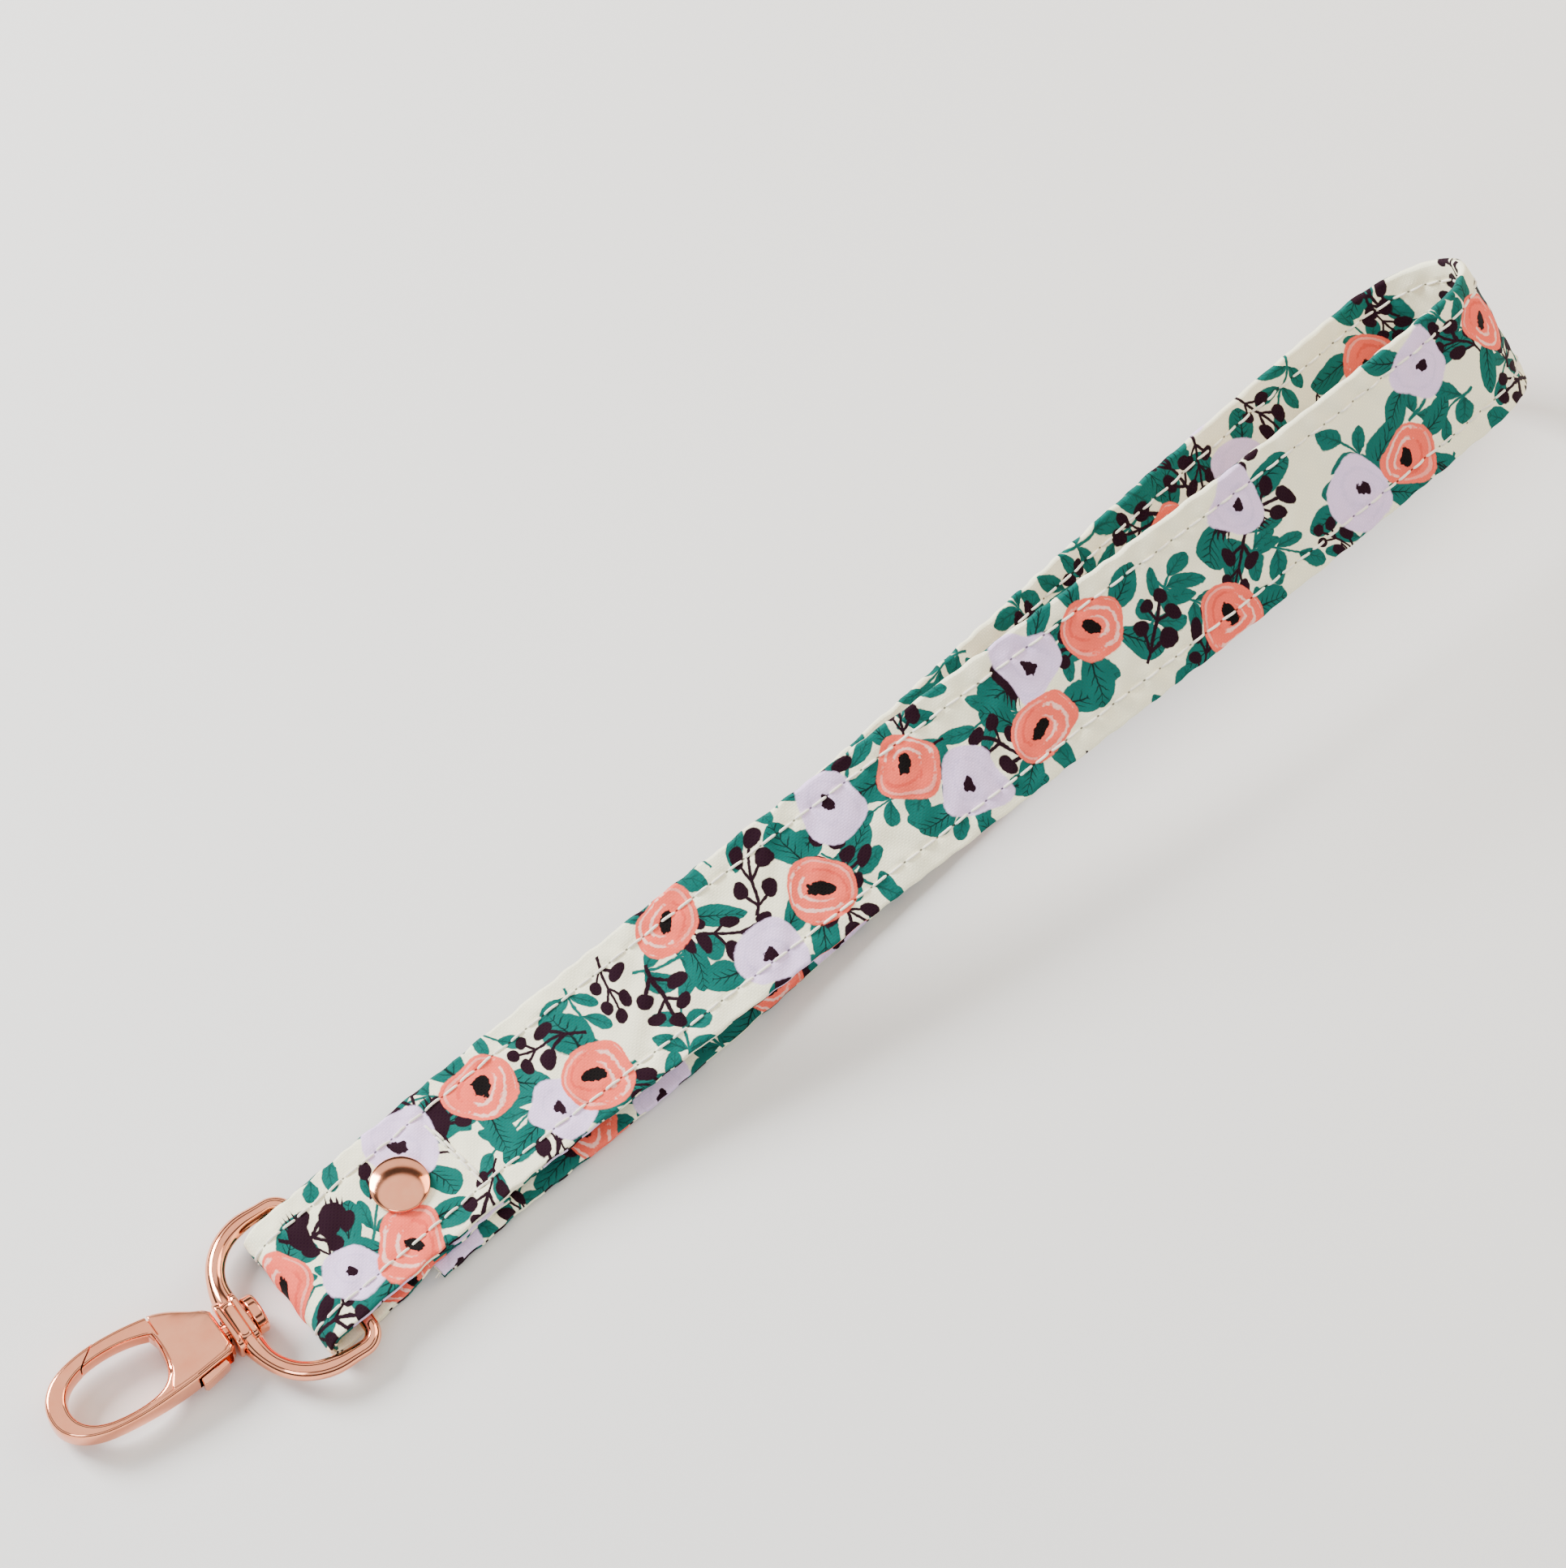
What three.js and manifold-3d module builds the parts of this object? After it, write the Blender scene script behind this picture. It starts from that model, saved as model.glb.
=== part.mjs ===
// Wristlet keychain: a printed cotton strap folded into a long wrist loop, closed by a double-cap rivet and
// a row of tack stitches round the bar of a metal D-ring, which carries a swivelling spring-gate snap hook.
//
// Units are millimetres and +Z is up. The keychain lies on the plane z = 0, on the flat back of its rivet.
// The origin is the rivet's axis on that plane, +X runs along the strap towards the far bend of the loop,
// and the snap hook lies on the -X side.
import * as THREE from 'three';
import { mergeVertices } from 'three/addons/utils/BufferGeometryUtils.js';
import Module from 'manifold-3d';

const wasm = await Module();
wasm.setup();

// ---- Driving dimensions ----
const STRAP = {
  width: 18.8,
  thick: 1.2,
  shellWall: 0.3, // folded cotton round the interfacing
  seamSlit: 0.2, // where the two folded edges meet, along the -Y side
  coreClearance: 0.12,
  layerGap: 0.45, // between the three layers under the rivet, which leaves room for the threads
  centreY: -0.7, // the rivet sits a little off the strap's centreline
  tailEnd: 9.2,
  lowerEnd: -3.2,
  lowerSlip: -1.5, // sideways slip of the lower run's end under the others
  slipEnd: 70, // where that slip has faded out
  foldTip: -19.8,
};
const LOOP = {
  start: 10, // where the two runs begin to part
  bendCentre: 178.6,
  bendStretch: 1.1,
  farGap: 21.3, // between the centrelines of the two runs at the bend
  farRoll: THREE.MathUtils.degToRad(44), // how far the strap stands up on its edge at the bend
  farShift: -14.3, // sideways lean of the upper run at the bend
  ease: 1.2,
  floorClear: 0.1,
};
const RIVET = {
  capRadius: 3.9,
  flatRadius: 3.2,
  backHeight: 0.75,
  postRadius: 1.4,
  holeRadius: 1.7,
  socketRadius: 1.5,
  capHeight: 1.35,
  clear: 0.15,
};
const THREAD = { width: 0.3, height: 0.12, lift: 0.07, inset: 3.0 };
const TACK = { x: 8.0, centreY: -1.35, reach: 5.1 };
const RING = {
  wire: 1.05, // radius of the wire
  halfWidth: 11.65, // of the wire's centreline
  cornerRadius: 2.2,
  depth: 13.6, // from the bar to the middle of the boss
  straightTo: 9.0, // distance from the boss at which the arms become straight
  bossLength: 3.2,
  bossHalfWidth: 3.6,
  bossHalfHeight: 2.4,
  bossCorner: 1.5,
  flange: 0.85, // length of the boss's flange at each end
  waist: 0.36, // how far the boss draws in between its flanges
  bossBore: 1.5,
  yaw: THREE.MathUtils.degToRad(9),
  bossAt: [-26.6, 0.8],
};
const SWIVEL = { shankRadius: 1.15, headRadius: 2.7, headLength: 1.6, headGap: 0.25, seat: 2.6 };
const HOOK = {
  baseGap: 0.35, // from the boss to the hook's base
  armHalf: 1.6, // half thickness of the arms
  plateHalf: 2.2, // half thickness of the body between them
  rimChamfer: 0.45,
  plateChamfer: 0.3,
  slotHalf: 1.35,
  shankBore: 1.2,
  pivot: [5.0, 0.1],
  lean: 0.078, // how far the outline drifts away from the thumb tab, per millimetre towards the tip
  pinRadius: 0.6,
  pinBore: 0.65,
  pinDepth: 1.75,
};
const GATE = {
  armHalf: 1.45,
  chamfer: 0.42,
  leverHalf: 1.1,
  gap: 0.15, // on each side of the cut between the gate and the hook
  hubRadius: 1.95,
  pinHole: 0.68,
  springPocket: 1.5,
};
const SPRING = { coilRadius: 1.07, wire: 0.14, turns: 3, height: 0.95, leg: 0.3 };

// ---- Heights of the stack at the rivet, and the bar ----
const LAYER_PITCH = STRAP.thick + STRAP.layerGap;
const LOWER_Z = RIVET.backHeight + RIVET.clear + STRAP.thick / 2;
const TAIL_Z = LOWER_Z + LAYER_PITCH;
const TOP_Z = TAIL_Z + LAYER_PITCH;
const STACK_TOP = TOP_Z + STRAP.thick / 2;
const FOLD_LOW_Z = STRAP.thick / 2 + 0.15;
const FOLD_RADIUS = (TOP_Z - FOLD_LOW_Z) / 2;
const BAR_Z = (TOP_Z + FOLD_LOW_Z) / 2;

const X_AXIS = new THREE.Vector3(1, 0, 0);

// ---- Solids: three.js geometry in and out of manifold-3d ----
function toSolid(geometry) {
  const bare = geometry.index ? geometry.toNonIndexed() : geometry.clone();
  bare.deleteAttribute('normal');
  bare.deleteAttribute('uv');
  const merged = mergeVertices(bare, 1e-4);
  return new wasm.Manifold(new wasm.Mesh({
    numProp: 3,
    vertProperties: merged.attributes.position.array,
    triVerts: new Uint32Array(merged.index.array),
  }));
}

function toGeometry(solid) {
  const mesh = solid.getMesh();
  const geometry = new THREE.BufferGeometry();
  geometry.setAttribute('position', new THREE.BufferAttribute(mesh.vertProperties.slice(), 3));
  geometry.setIndex(new THREE.BufferAttribute(mesh.triVerts.slice(), 1));
  geometry.computeVertexNormals();
  return geometry;
}

// A plate of the hook with the given outline, lying across z = 0 with the given half thickness and, where
// asked, chamfered edges. The hook leans, so the outline is sheared along its length.
function plate(shape, half, chamfer = 0) {
  const geometry = new THREE.ExtrudeGeometry(shape, {
    depth: 2 * (half - chamfer),
    bevelEnabled: chamfer > 0,
    bevelThickness: chamfer,
    bevelSize: chamfer,
    bevelOffset: -chamfer,
    bevelSegments: 1,
    curveSegments: 10,
  });
  const lean = new THREE.Matrix4().makeShear(-HOOK.lean, 0, 0, 0, 0, 0);
  return geometry.translate(0, 0, chamfer - half).applyMatrix4(lean);
}

// A cylinder along z from low to high, centred on (x, y).
function rod(radius, low, high, x = 0, y = 0, sides = 24) {
  const geometry = new THREE.CylinderGeometry(radius, radius, high - low, sides);
  return geometry.rotateX(Math.PI / 2).translate(x, y, (low + high) / 2);
}

function polygon(points) {
  return new THREE.Shape(points.map(([x, y]) => new THREE.Vector2(x, y)));
}

function circle(radius, x, y) {
  const shape = new THREE.Shape();
  shape.absarc(x, y, radius, 0, 2 * Math.PI);
  return shape;
}

function named(name, geometry, material) {
  const mesh = new THREE.Mesh(geometry, material);
  mesh.name = name;
  return mesh;
}

// ---- The strap's path ----
// How far the loop has opened at x: 0 at the clasp, 1 at the far bend. It drives the gap between the runs,
// the strap's roll and its sideways lean.
function openness(x) {
  const share = THREE.MathUtils.clamp((x - LOOP.start) / (LOOP.bendCentre - LOOP.start), 0, 1);
  return Math.sin(share * Math.PI / 2) ** LOOP.ease;
}

// The place of both runs at x: y and z of each centreline, and the roll they share.
function runsAt(x) {
  const open = openness(x);
  const share = THREE.MathUtils.clamp((x - LOOP.start) / (LOOP.bendCentre - LOOP.start), 0, 1);
  const roll = LOOP.farRoll * open;
  const gap = THREE.MathUtils.lerp(2 * LAYER_PITCH, LOOP.farGap, open);
  const lift = THREE.MathUtils.lerp(RIVET.backHeight + RIVET.clear, LOOP.floorClear, 1 - (1 - share) ** 2);
  const lowZ = STRAP.width / 2 * Math.sin(roll) + STRAP.thick / 2 * Math.cos(roll) + lift;
  const highY = STRAP.centreY + LOOP.farShift * open;
  return {
    roll,
    high: [highY, lowZ + gap * Math.cos(roll)],
    low: [highY + gap * Math.sin(roll) + slipAt(x), lowZ],
  };
}

function slipAt(x) {
  return STRAP.lowerSlip * (1 - THREE.MathUtils.smoothstep(x, 0, STRAP.slipEnd));
}

function station(x, y, z, roll = 0) {
  return {
    at: new THREE.Vector3(x, y, z),
    across: new THREE.Vector3(0, Math.cos(roll), Math.sin(roll)),
  };
}

// Stations along the strap from the tail's end, round the bar, along the upper run, round the far bend and
// back along the lower run. Each holds a point of the centreline, the direction across the strap and the
// direction out of its outer face.
function strapStations() {
  const stations = [];
  const y = STRAP.centreY;
  const foldX = STRAP.foldTip + STRAP.thick / 2 + FOLD_RADIUS;
  const dip = { from: -2.6, to: -9.5, steps: 6 };
  for (const x of [STRAP.tailEnd, 5.5, 2.5, 0, -1.4]) stations.push(station(x, y, TAIL_Z));
  for (let i = 0; i <= dip.steps; i++) {
    const share = i / dip.steps;
    const z = THREE.MathUtils.lerp(TAIL_Z, FOLD_LOW_Z, THREE.MathUtils.smoothstep(share, 0, 1));
    stations.push(station(THREE.MathUtils.lerp(dip.from, dip.to, share), y, z));
  }
  stations.push(station(-13, y, FOLD_LOW_Z));
  const foldSteps = 6;
  for (let i = 0; i <= foldSteps; i++) {
    const turn = Math.PI * i / foldSteps;
    const x = foldX - FOLD_RADIUS * Math.sin(turn);
    stations.push(station(x, y, BAR_Z - FOLD_RADIUS * Math.cos(turn)));
  }
  for (const x of [-13, -8, -3, 0, 3, 7]) stations.push(station(x, y, TOP_Z));
  const runSteps = 28;
  const runX = (i) => THREE.MathUtils.lerp(LOOP.start, LOOP.bendCentre, i / runSteps);
  for (let i = 0; i <= runSteps; i++) {
    const { roll, high } = runsAt(runX(i));
    stations.push(station(runX(i), ...high, roll));
  }
  stations.push(...bendStations());
  for (let i = runSteps; i >= 0; i--) {
    const { roll, low } = runsAt(runX(i));
    stations.push(station(runX(i), ...low, roll));
  }
  for (const x of [7, 3, 0, STRAP.lowerEnd]) stations.push(station(x, y + slipAt(x), LOWER_Z));
  return squared(stations);
}

function bendStations() {
  const { roll, high } = runsAt(LOOP.bendCentre);
  const inward = new THREE.Vector3(0, Math.sin(roll), -Math.cos(roll));
  const radius = LOOP.farGap / 2;
  const centre = new THREE.Vector3(LOOP.bendCentre, ...high).addScaledVector(inward, radius);
  const steps = 12;
  const stations = [];
  for (let i = 1; i < steps; i++) {
    const turn = Math.PI * i / steps;
    const at = centre.clone()
      .addScaledVector(inward, -radius * Math.cos(turn))
      .addScaledVector(X_AXIS, radius * LOOP.bendStretch * Math.sin(turn));
    stations.push(station(at.x, at.y, at.z, roll));
  }
  return stations;
}

// Makes each station's frame square to the path, and adds the outer face's direction.
function squared(stations) {
  stations.forEach((here, i) => {
    const before = stations[Math.max(i - 1, 0)].at;
    const after = stations[Math.min(i + 1, stations.length - 1)].at;
    const along = after.clone().sub(before).normalize();
    here.across.addScaledVector(along, -here.across.dot(along)).normalize();
    here.outward = along.clone().cross(here.across);
  });
  return stations;
}

// Extrudes a cross-section (x across the strap, y out of its outer face) along the strap's stations.
function alongStrap(shape, stations) {
  const steps = stations.length - 1;
  const geometry = new THREE.ExtrudeGeometry(shape, { depth: steps, steps, bevelEnabled: false });
  const position = geometry.attributes.position;
  for (let i = 0; i < position.count; i++) {
    const { at, across, outward } = stations[Math.round(position.getZ(i))];
    const point = at.clone()
      .addScaledVector(across, position.getX(i))
      .addScaledVector(outward, position.getY(i));
    position.setXYZ(i, point.x, point.y, point.z);
  }
  return geometry;
}

function rectangle(width, height, x = 0, y = 0) {
  return polygon([
    [x - width / 2, y - height / 2],
    [x + width / 2, y - height / 2],
    [x + width / 2, y + height / 2],
    [x - width / 2, y + height / 2],
  ]);
}

// A face of a section at height y from one edge to the other, with points under the two rows of stitching
// and between them, so that a twisted strap stays smooth across its width.
const STITCH_X = STRAP.width / 2 - THREAD.inset;
function face(halfWidth, y, way) {
  return [-halfWidth, -STITCH_X, -STITCH_X / 3, STITCH_X / 3, STITCH_X, halfWidth].map((x) => [way * x, y]);
}

function coreSection() {
  const halfWidth = STRAP.width / 2 - STRAP.shellWall - STRAP.coreClearance;
  const halfThick = STRAP.thick / 2 - STRAP.shellWall - STRAP.coreClearance;
  return polygon([...face(halfWidth, -halfThick, 1), ...face(halfWidth, halfThick, -1)]);
}

// The cotton shell's section: a flat sleeve, open by a slit where its folded edges meet.
function sleeveSection() {
  const { width, thick, shellWall, seamSlit } = STRAP;
  const [outX, outY] = [width / 2, thick / 2];
  const [inX, inY] = [outX - shellWall, outY - shellWall];
  const slit = seamSlit / 2;
  return polygon([
    [-outX, slit], ...face(outX, outY, 1), ...face(outX, -outY, -1), [-outX, -slit],
    [-inX, -slit], ...face(inX, -inY, 1), ...face(inX, inY, -1), [-inX, slit],
  ]);
}

function threadSection(edge, side) {
  const y = side * (STRAP.thick / 2 + THREAD.lift + THREAD.height / 2);
  return rectangle(THREAD.width, THREAD.height, edge * STITCH_X, y);
}

function punched(geometry) {
  return toGeometry(toSolid(geometry).subtract(toSolid(rod(RIVET.holeRadius, -1, STACK_TOP + 1))));
}

function tackThread(z) {
  const geometry = new THREE.BoxGeometry(THREAD.width, 2 * TACK.reach, THREAD.height);
  return geometry.translate(TACK.x, TACK.centreY, z);
}

function strapMeshes() {
  const stations = strapStations();
  const cotton = new THREE.MeshStandardMaterial({ color: 0xf2ead8, roughness: 0.85, metalness: 0 });
  const padding = new THREE.MeshStandardMaterial({ color: 0xe9e7e0, roughness: 0.95, metalness: 0 });
  const thread = new THREE.MeshStandardMaterial({ color: 0xf5efe2, roughness: 0.7, metalness: 0 });
  const tackLift = THREAD.lift + THREAD.height / 2;
  return [
    named('strap_fabric', punched(alongStrap(sleeveSection(), stations)), cotton),
    named('strap_interfacing', punched(alongStrap(coreSection(), stations)), padding),
    named('topstitch_needle_open_edge', alongStrap(threadSection(-1, 1), stations), thread),
    named('topstitch_needle_fold_edge', alongStrap(threadSection(1, 1), stations), thread),
    named('topstitch_bobbin_open_edge', alongStrap(threadSection(-1, -1), stations), thread),
    named('topstitch_bobbin_fold_edge', alongStrap(threadSection(1, -1), stations), thread),
    named('tack_needle_thread', tackThread(STACK_TOP + tackLift), thread),
    named('tack_bobbin_thread', tackThread(LOWER_Z - STRAP.thick / 2 - tackLift), thread),
  ];
}

// ---- The rivet ----
function turned(profile, segments = 32) {
  const points = profile.map(([radius, z]) => new THREE.Vector2(radius, z));
  return new THREE.LatheGeometry(points, segments).rotateX(Math.PI / 2);
}

function rivetMeshes(metal) {
  const { capRadius, flatRadius, backHeight, postRadius, socketRadius, capHeight, clear } = RIVET;
  const capBase = STACK_TOP + clear;
  const socketTop = capBase + capHeight - 0.55;
  const postTop = socketTop - 0.1;
  const dome = [];
  const domeSteps = 5;
  for (let i = 0; i <= domeSteps; i++) {
    const turn = Math.PI / 2 * i / domeSteps;
    dome.push([capRadius * Math.cos(turn), capBase + 0.35 + (capHeight - 0.35) * Math.sin(turn)]);
  }
  dome[domeSteps][0] = 0;
  const post = turned([
    [0, 0], [flatRadius, 0], [capRadius, backHeight * 0.6], [capRadius - 0.2, backHeight],
    [postRadius, backHeight], [postRadius, postTop - 0.3], [postRadius - 0.3, postTop], [0, postTop],
  ]);
  const cap = turned([
    [0, socketTop], [socketRadius, socketTop], [socketRadius, capBase], [capRadius - 0.15, capBase], ...dome,
  ]);
  return [named('rivet_post', post, metal), named('rivet_cap', cap, metal)];
}

// ---- The D-ring. In its group the bar lies along y at x = 0, and the boss points along +x ----
function ringPath() {
  const { halfWidth, cornerRadius, depth, straightTo } = RING;
  const point = (x, y) => new THREE.Vector3(x, y, 0);
  const bossSide = depth - 0.3;
  const armEnd = depth - straightTo;
  const tuck = 2.6;
  const pull = 0.45 * cornerRadius;
  const path = new THREE.CurvePath();
  const half = (side) => [
    new THREE.CubicBezierCurve3(
      point(bossSide, side * tuck), point(bossSide + 0.1, side * 8.4),
      point(armEnd + 4.9, side * halfWidth), point(armEnd, side * halfWidth),
    ),
    new THREE.LineCurve3(point(armEnd, side * halfWidth), point(cornerRadius, side * halfWidth)),
    new THREE.CubicBezierCurve3(
      point(cornerRadius, side * halfWidth), point(pull, side * halfWidth),
      point(0, side * (halfWidth - pull)), point(0, side * (halfWidth - cornerRadius)),
    ),
  ];
  const reversed = (curve) => (curve.isLineCurve3
    ? new THREE.LineCurve3(curve.v2, curve.v1)
    : new THREE.CubicBezierCurve3(curve.v3, curve.v2, curve.v1, curve.v0));
  half(1).forEach((curve) => path.add(curve));
  path.add(new THREE.LineCurve3(point(0, halfWidth - cornerRadius), point(0, cornerRadius - halfWidth)));
  half(-1).reverse().forEach((curve) => path.add(reversed(curve)));
  return path;
}

// A block with rounded long edges along the hook's axis from low to high, drawn in from the boss's outline.
function bossBlock(inset, low, high) {
  const shape = new THREE.Shape();
  const corner = RING.bossCorner - inset;
  const x = RING.bossHalfHeight - RING.bossCorner;
  const y = RING.bossHalfWidth - RING.bossCorner;
  shape.absarc(x, y, corner, 0, Math.PI / 2);
  shape.absarc(-x, y, corner, Math.PI / 2, Math.PI);
  shape.absarc(-x, -y, corner, Math.PI, 1.5 * Math.PI);
  shape.absarc(x, -y, corner, 1.5 * Math.PI, 2 * Math.PI);
  const geometry = new THREE.ExtrudeGeometry(shape, {
    depth: high - low, bevelEnabled: false, curveSegments: 5,
  });
  return geometry.rotateY(Math.PI / 2).translate(low, 0, 0);
}

// A cylinder along x from low to high.
function axle(radius, low, high, sides = 24) {
  return rod(radius, low, high, 0, 0, sides).rotateY(Math.PI / 2);
}

function ringMesh(metal) {
  const section = circle(RING.wire, 0, 0);
  const wire = new THREE.ExtrudeGeometry(section, {
    steps: 64, extrudePath: ringPath(), curveSegments: 5, bevelEnabled: false,
  });
  const [low, high] = [RING.depth - RING.bossLength / 2, RING.depth + RING.bossLength / 2];
  const solid = toSolid(wire)
    .add(toSolid(bossBlock(RING.waist, low, high)))
    .add(toSolid(bossBlock(0, low, low + RING.flange)))
    .add(toSolid(bossBlock(0, high - RING.flange, high)))
    .subtract(toSolid(axle(RING.bossBore, low - 3, high + 3)));
  return named('d_ring', toGeometry(solid), metal);
}

// ---- The snap hook. In its group x runs from the base to the tip, and y towards the thumb tab ----
const HOOK_BASE = RING.depth + RING.bossLength / 2 + HOOK.baseGap;

function swivelMesh(metal) {
  const headTop = RING.depth - RING.bossLength / 2 - SWIVEL.headGap - HOOK_BASE;
  const headLow = headTop - SWIVEL.headLength;
  const profile = [
    [0, headLow], [SWIVEL.headRadius - 0.4, headLow], [SWIVEL.headRadius, headLow + 0.4],
    [SWIVEL.headRadius, headTop - 0.2], [SWIVEL.headRadius - 0.2, headTop],
    [SWIVEL.shankRadius, headTop], [SWIVEL.shankRadius, SWIVEL.seat], [0, SWIVEL.seat],
  ];
  return named('swivel_rivet', turned(profile, 24).rotateY(Math.PI / 2), metal);
}

function hookOutline() {
  const shape = new THREE.Shape();
  shape.moveTo(0, -3.0);
  shape.lineTo(0.7, -3.7);
  shape.bezierCurveTo(2.6, -4.3, 4.0, -6.1, 6.8, -6.45);
  shape.bezierCurveTo(12.0, -7.1, 18.0, -6.7, 21.3, -4.4);
  shape.bezierCurveTo(23.0, -3.1, 23.9, -1.4, 23.9, 0.6);
  shape.bezierCurveTo(23.9, 3.2, 21.6, 4.9, 18.2, 5.3);
  shape.bezierCurveTo(14.2, 5.7, 8.4, 5.2, 3.8, 4.05);
  shape.lineTo(0.7, 3.4);
  shape.lineTo(0, 2.8);
  return shape;
}

function eyeOutline() {
  const shape = new THREE.Shape();
  shape.moveTo(7.7, -3.9);
  shape.bezierCurveTo(11.0, -5.2, 16.4, -5.0, 19.2, -3.1);
  shape.bezierCurveTo(20.6, -2.1, 21.2, -0.9, 21.2, 0.6);
  shape.bezierCurveTo(21.2, 2.6, 19.6, 3.8, 17.2, 4.1);
  shape.bezierCurveTo(14.4, 4.4, 11.0, 4.2, 9.6, 3.0);
  shape.bezierCurveTo(8.2, 1.9, 7.5, -1.0, 7.7, -3.9);
  return shape;
}

function rimOutline() {
  const shape = hookOutline();
  shape.holes.push(eyeOutline());
  return shape;
}

// The raised body between the base and the eye, which the outline's rim surrounds.
function bodyOutline() {
  const shape = new THREE.Shape();
  shape.moveTo(0.5, -2.4);
  shape.lineTo(1.3, -3.4);
  shape.bezierCurveTo(3.2, -4.2, 4.4, -5.7, 7.0, -6.0);
  shape.lineTo(9.0, -6.0);
  shape.lineTo(11.4, 4.5);
  shape.bezierCurveTo(8.4, 4.5, 5.4, 4.0, 1.3, 3.05);
  shape.lineTo(0.5, 2.2);
  return shape;
}

// The region of the gate's arm, from the body's seam to the slanted joint at the hook's nose. The joint
// leans so that the gate swings freely inwards and stops against the nose on its way out.
function gateRegion(grow) {
  const seam = 7.05 - grow;
  return polygon([[seam, -8], [12.41 + grow, -8], [18.55 + grow, -3], [seam, -3 + 2 * grow]]);
}

// The slot between the two cheeks, which holds the gate's lever and opens on the thumb tab's side.
function slotOutline() {
  return polygon([[2.9, -8], [9.5, -8], [9.5, 2.6], [5.9, 2.6], [5.9, 8], [0.6, 8], [0.6, 2.0], [2.9, 2.0]]);
}

function hookMesh(metal) {
  const tall = HOOK.plateHalf + 1;
  const [pivotX, pivotY] = HOOK.pivot;
  const body = toSolid(plate(bodyOutline(), HOOK.plateHalf, HOOK.plateChamfer))
    .subtract(toSolid(plate(eyeOutline(), tall)));
  const solid = toSolid(plate(rimOutline(), HOOK.armHalf, HOOK.rimChamfer))
    .add(body)
    .subtract(toSolid(plate(gateRegion(GATE.gap), tall)))
    .subtract(toSolid(plate(slotOutline(), HOOK.slotHalf)))
    .subtract(toSolid(axle(HOOK.shankBore, -1, SWIVEL.seat + 0.1)))
    .subtract(toSolid(rod(HOOK.pinBore, -tall, HOOK.pinDepth, pivotX, pivotY)));
  return named('hook_body', toGeometry(solid), metal);
}

function leverOutline() {
  return polygon([
    [1.6, 3.5], [1.6, 4.3], [1.9, 4.5], [5.3, 5.5], [5.65, 5.3], [5.65, 4.4], [5.2, 3.3], [6.6, 1.2],
    [6.9, -0.4], [8.1, -4.2], [7.6, -6.0], [6.4, -5.8], [3.9, -1.1], [3.4, 0.2], [3.55, 1.6], [3.3, 4.0],
  ]);
}

function gateMesh(metal) {
  const [pivotX, pivotY] = HOOK.pivot;
  const arm = toSolid(plate(rimOutline(), GATE.armHalf, GATE.chamfer))
    .intersect(toSolid(plate(gateRegion(-GATE.gap), GATE.armHalf + 1)));
  const solid = arm
    .add(toSolid(plate(leverOutline(), GATE.leverHalf)))
    .add(toSolid(rod(GATE.hubRadius, -GATE.leverHalf, GATE.leverHalf, pivotX, pivotY)))
    .subtract(toSolid(rod(GATE.pinHole, -3, 3, pivotX, pivotY)))
    .subtract(toSolid(rod(GATE.springPocket, 0, 3, pivotX, pivotY)));
  return named('gate', toGeometry(solid), metal);
}

function pinMesh(metal) {
  const [pivotX, pivotY] = HOOK.pivot;
  const low = -HOOK.plateHalf + 0.05;
  return named('gate_pin', rod(HOOK.pinRadius, low, HOOK.pinDepth - 0.1, pivotX, pivotY, 20), metal);
}

// A small torsion coil round the gate's pin.
class Coil extends THREE.Curve {
  getPoint(share, target = new THREE.Vector3()) {
    const turn = 2 * Math.PI * SPRING.turns * share;
    return target.set(
      SPRING.coilRadius * Math.cos(turn),
      SPRING.coilRadius * Math.sin(turn),
      SPRING.height * (share - 0.5),
    );
  }
}

function springMesh(steel) {
  const [pivotX, pivotY] = HOOK.pivot;
  const geometry = new THREE.ExtrudeGeometry(circle(SPRING.wire, 0, 0), {
    steps: 14 * SPRING.turns, extrudePath: new Coil(), curveSegments: 3, bevelEnabled: false,
  });
  return named('gate_spring', geometry.translate(pivotX, pivotY, SPRING.height / 2 + SPRING.leg), steel);
}

// ---- The assembly ----
const roseGold = new THREE.MeshStandardMaterial({ color: 0xe0a184, roughness: 0.18, metalness: 1 });
const steel = new THREE.MeshStandardMaterial({ color: 0xb9b6b2, roughness: 0.3, metalness: 1 });

const hook = new THREE.Group();
hook.position.x = HOOK_BASE;
hook.add(swivelMesh(roseGold), hookMesh(roseGold), gateMesh(roseGold), pinMesh(roseGold), springMesh(steel));

const clasp = new THREE.Group();
const [bossX, bossY] = RING.bossAt;
clasp.position.set(
  bossX + RING.depth * Math.cos(RING.yaw),
  bossY - RING.depth * Math.sin(RING.yaw),
  BAR_Z,
);
clasp.rotation.z = Math.PI - RING.yaw;
clasp.add(ringMesh(roseGold), hook);

const keychain = new THREE.Group();
keychain.add(...strapMeshes(), ...rivetMeshes(roseGold), clasp);

export default keychain;
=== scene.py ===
"""Wristlet keychain: the looks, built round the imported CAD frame.

A printed cotton strap is swept along the same path as the CAD strap, with puckered topstitching and
single stitches. The rose-gold clasp is built from smooth outlines with rounded edges. Blender is in metres;
this script's own sizes are in millimetres in the CAD's frame, and MM turns them into metres.
"""
import math
import random

import bmesh
import bpy
import numpy as np
from mathutils import Matrix, Vector


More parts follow.
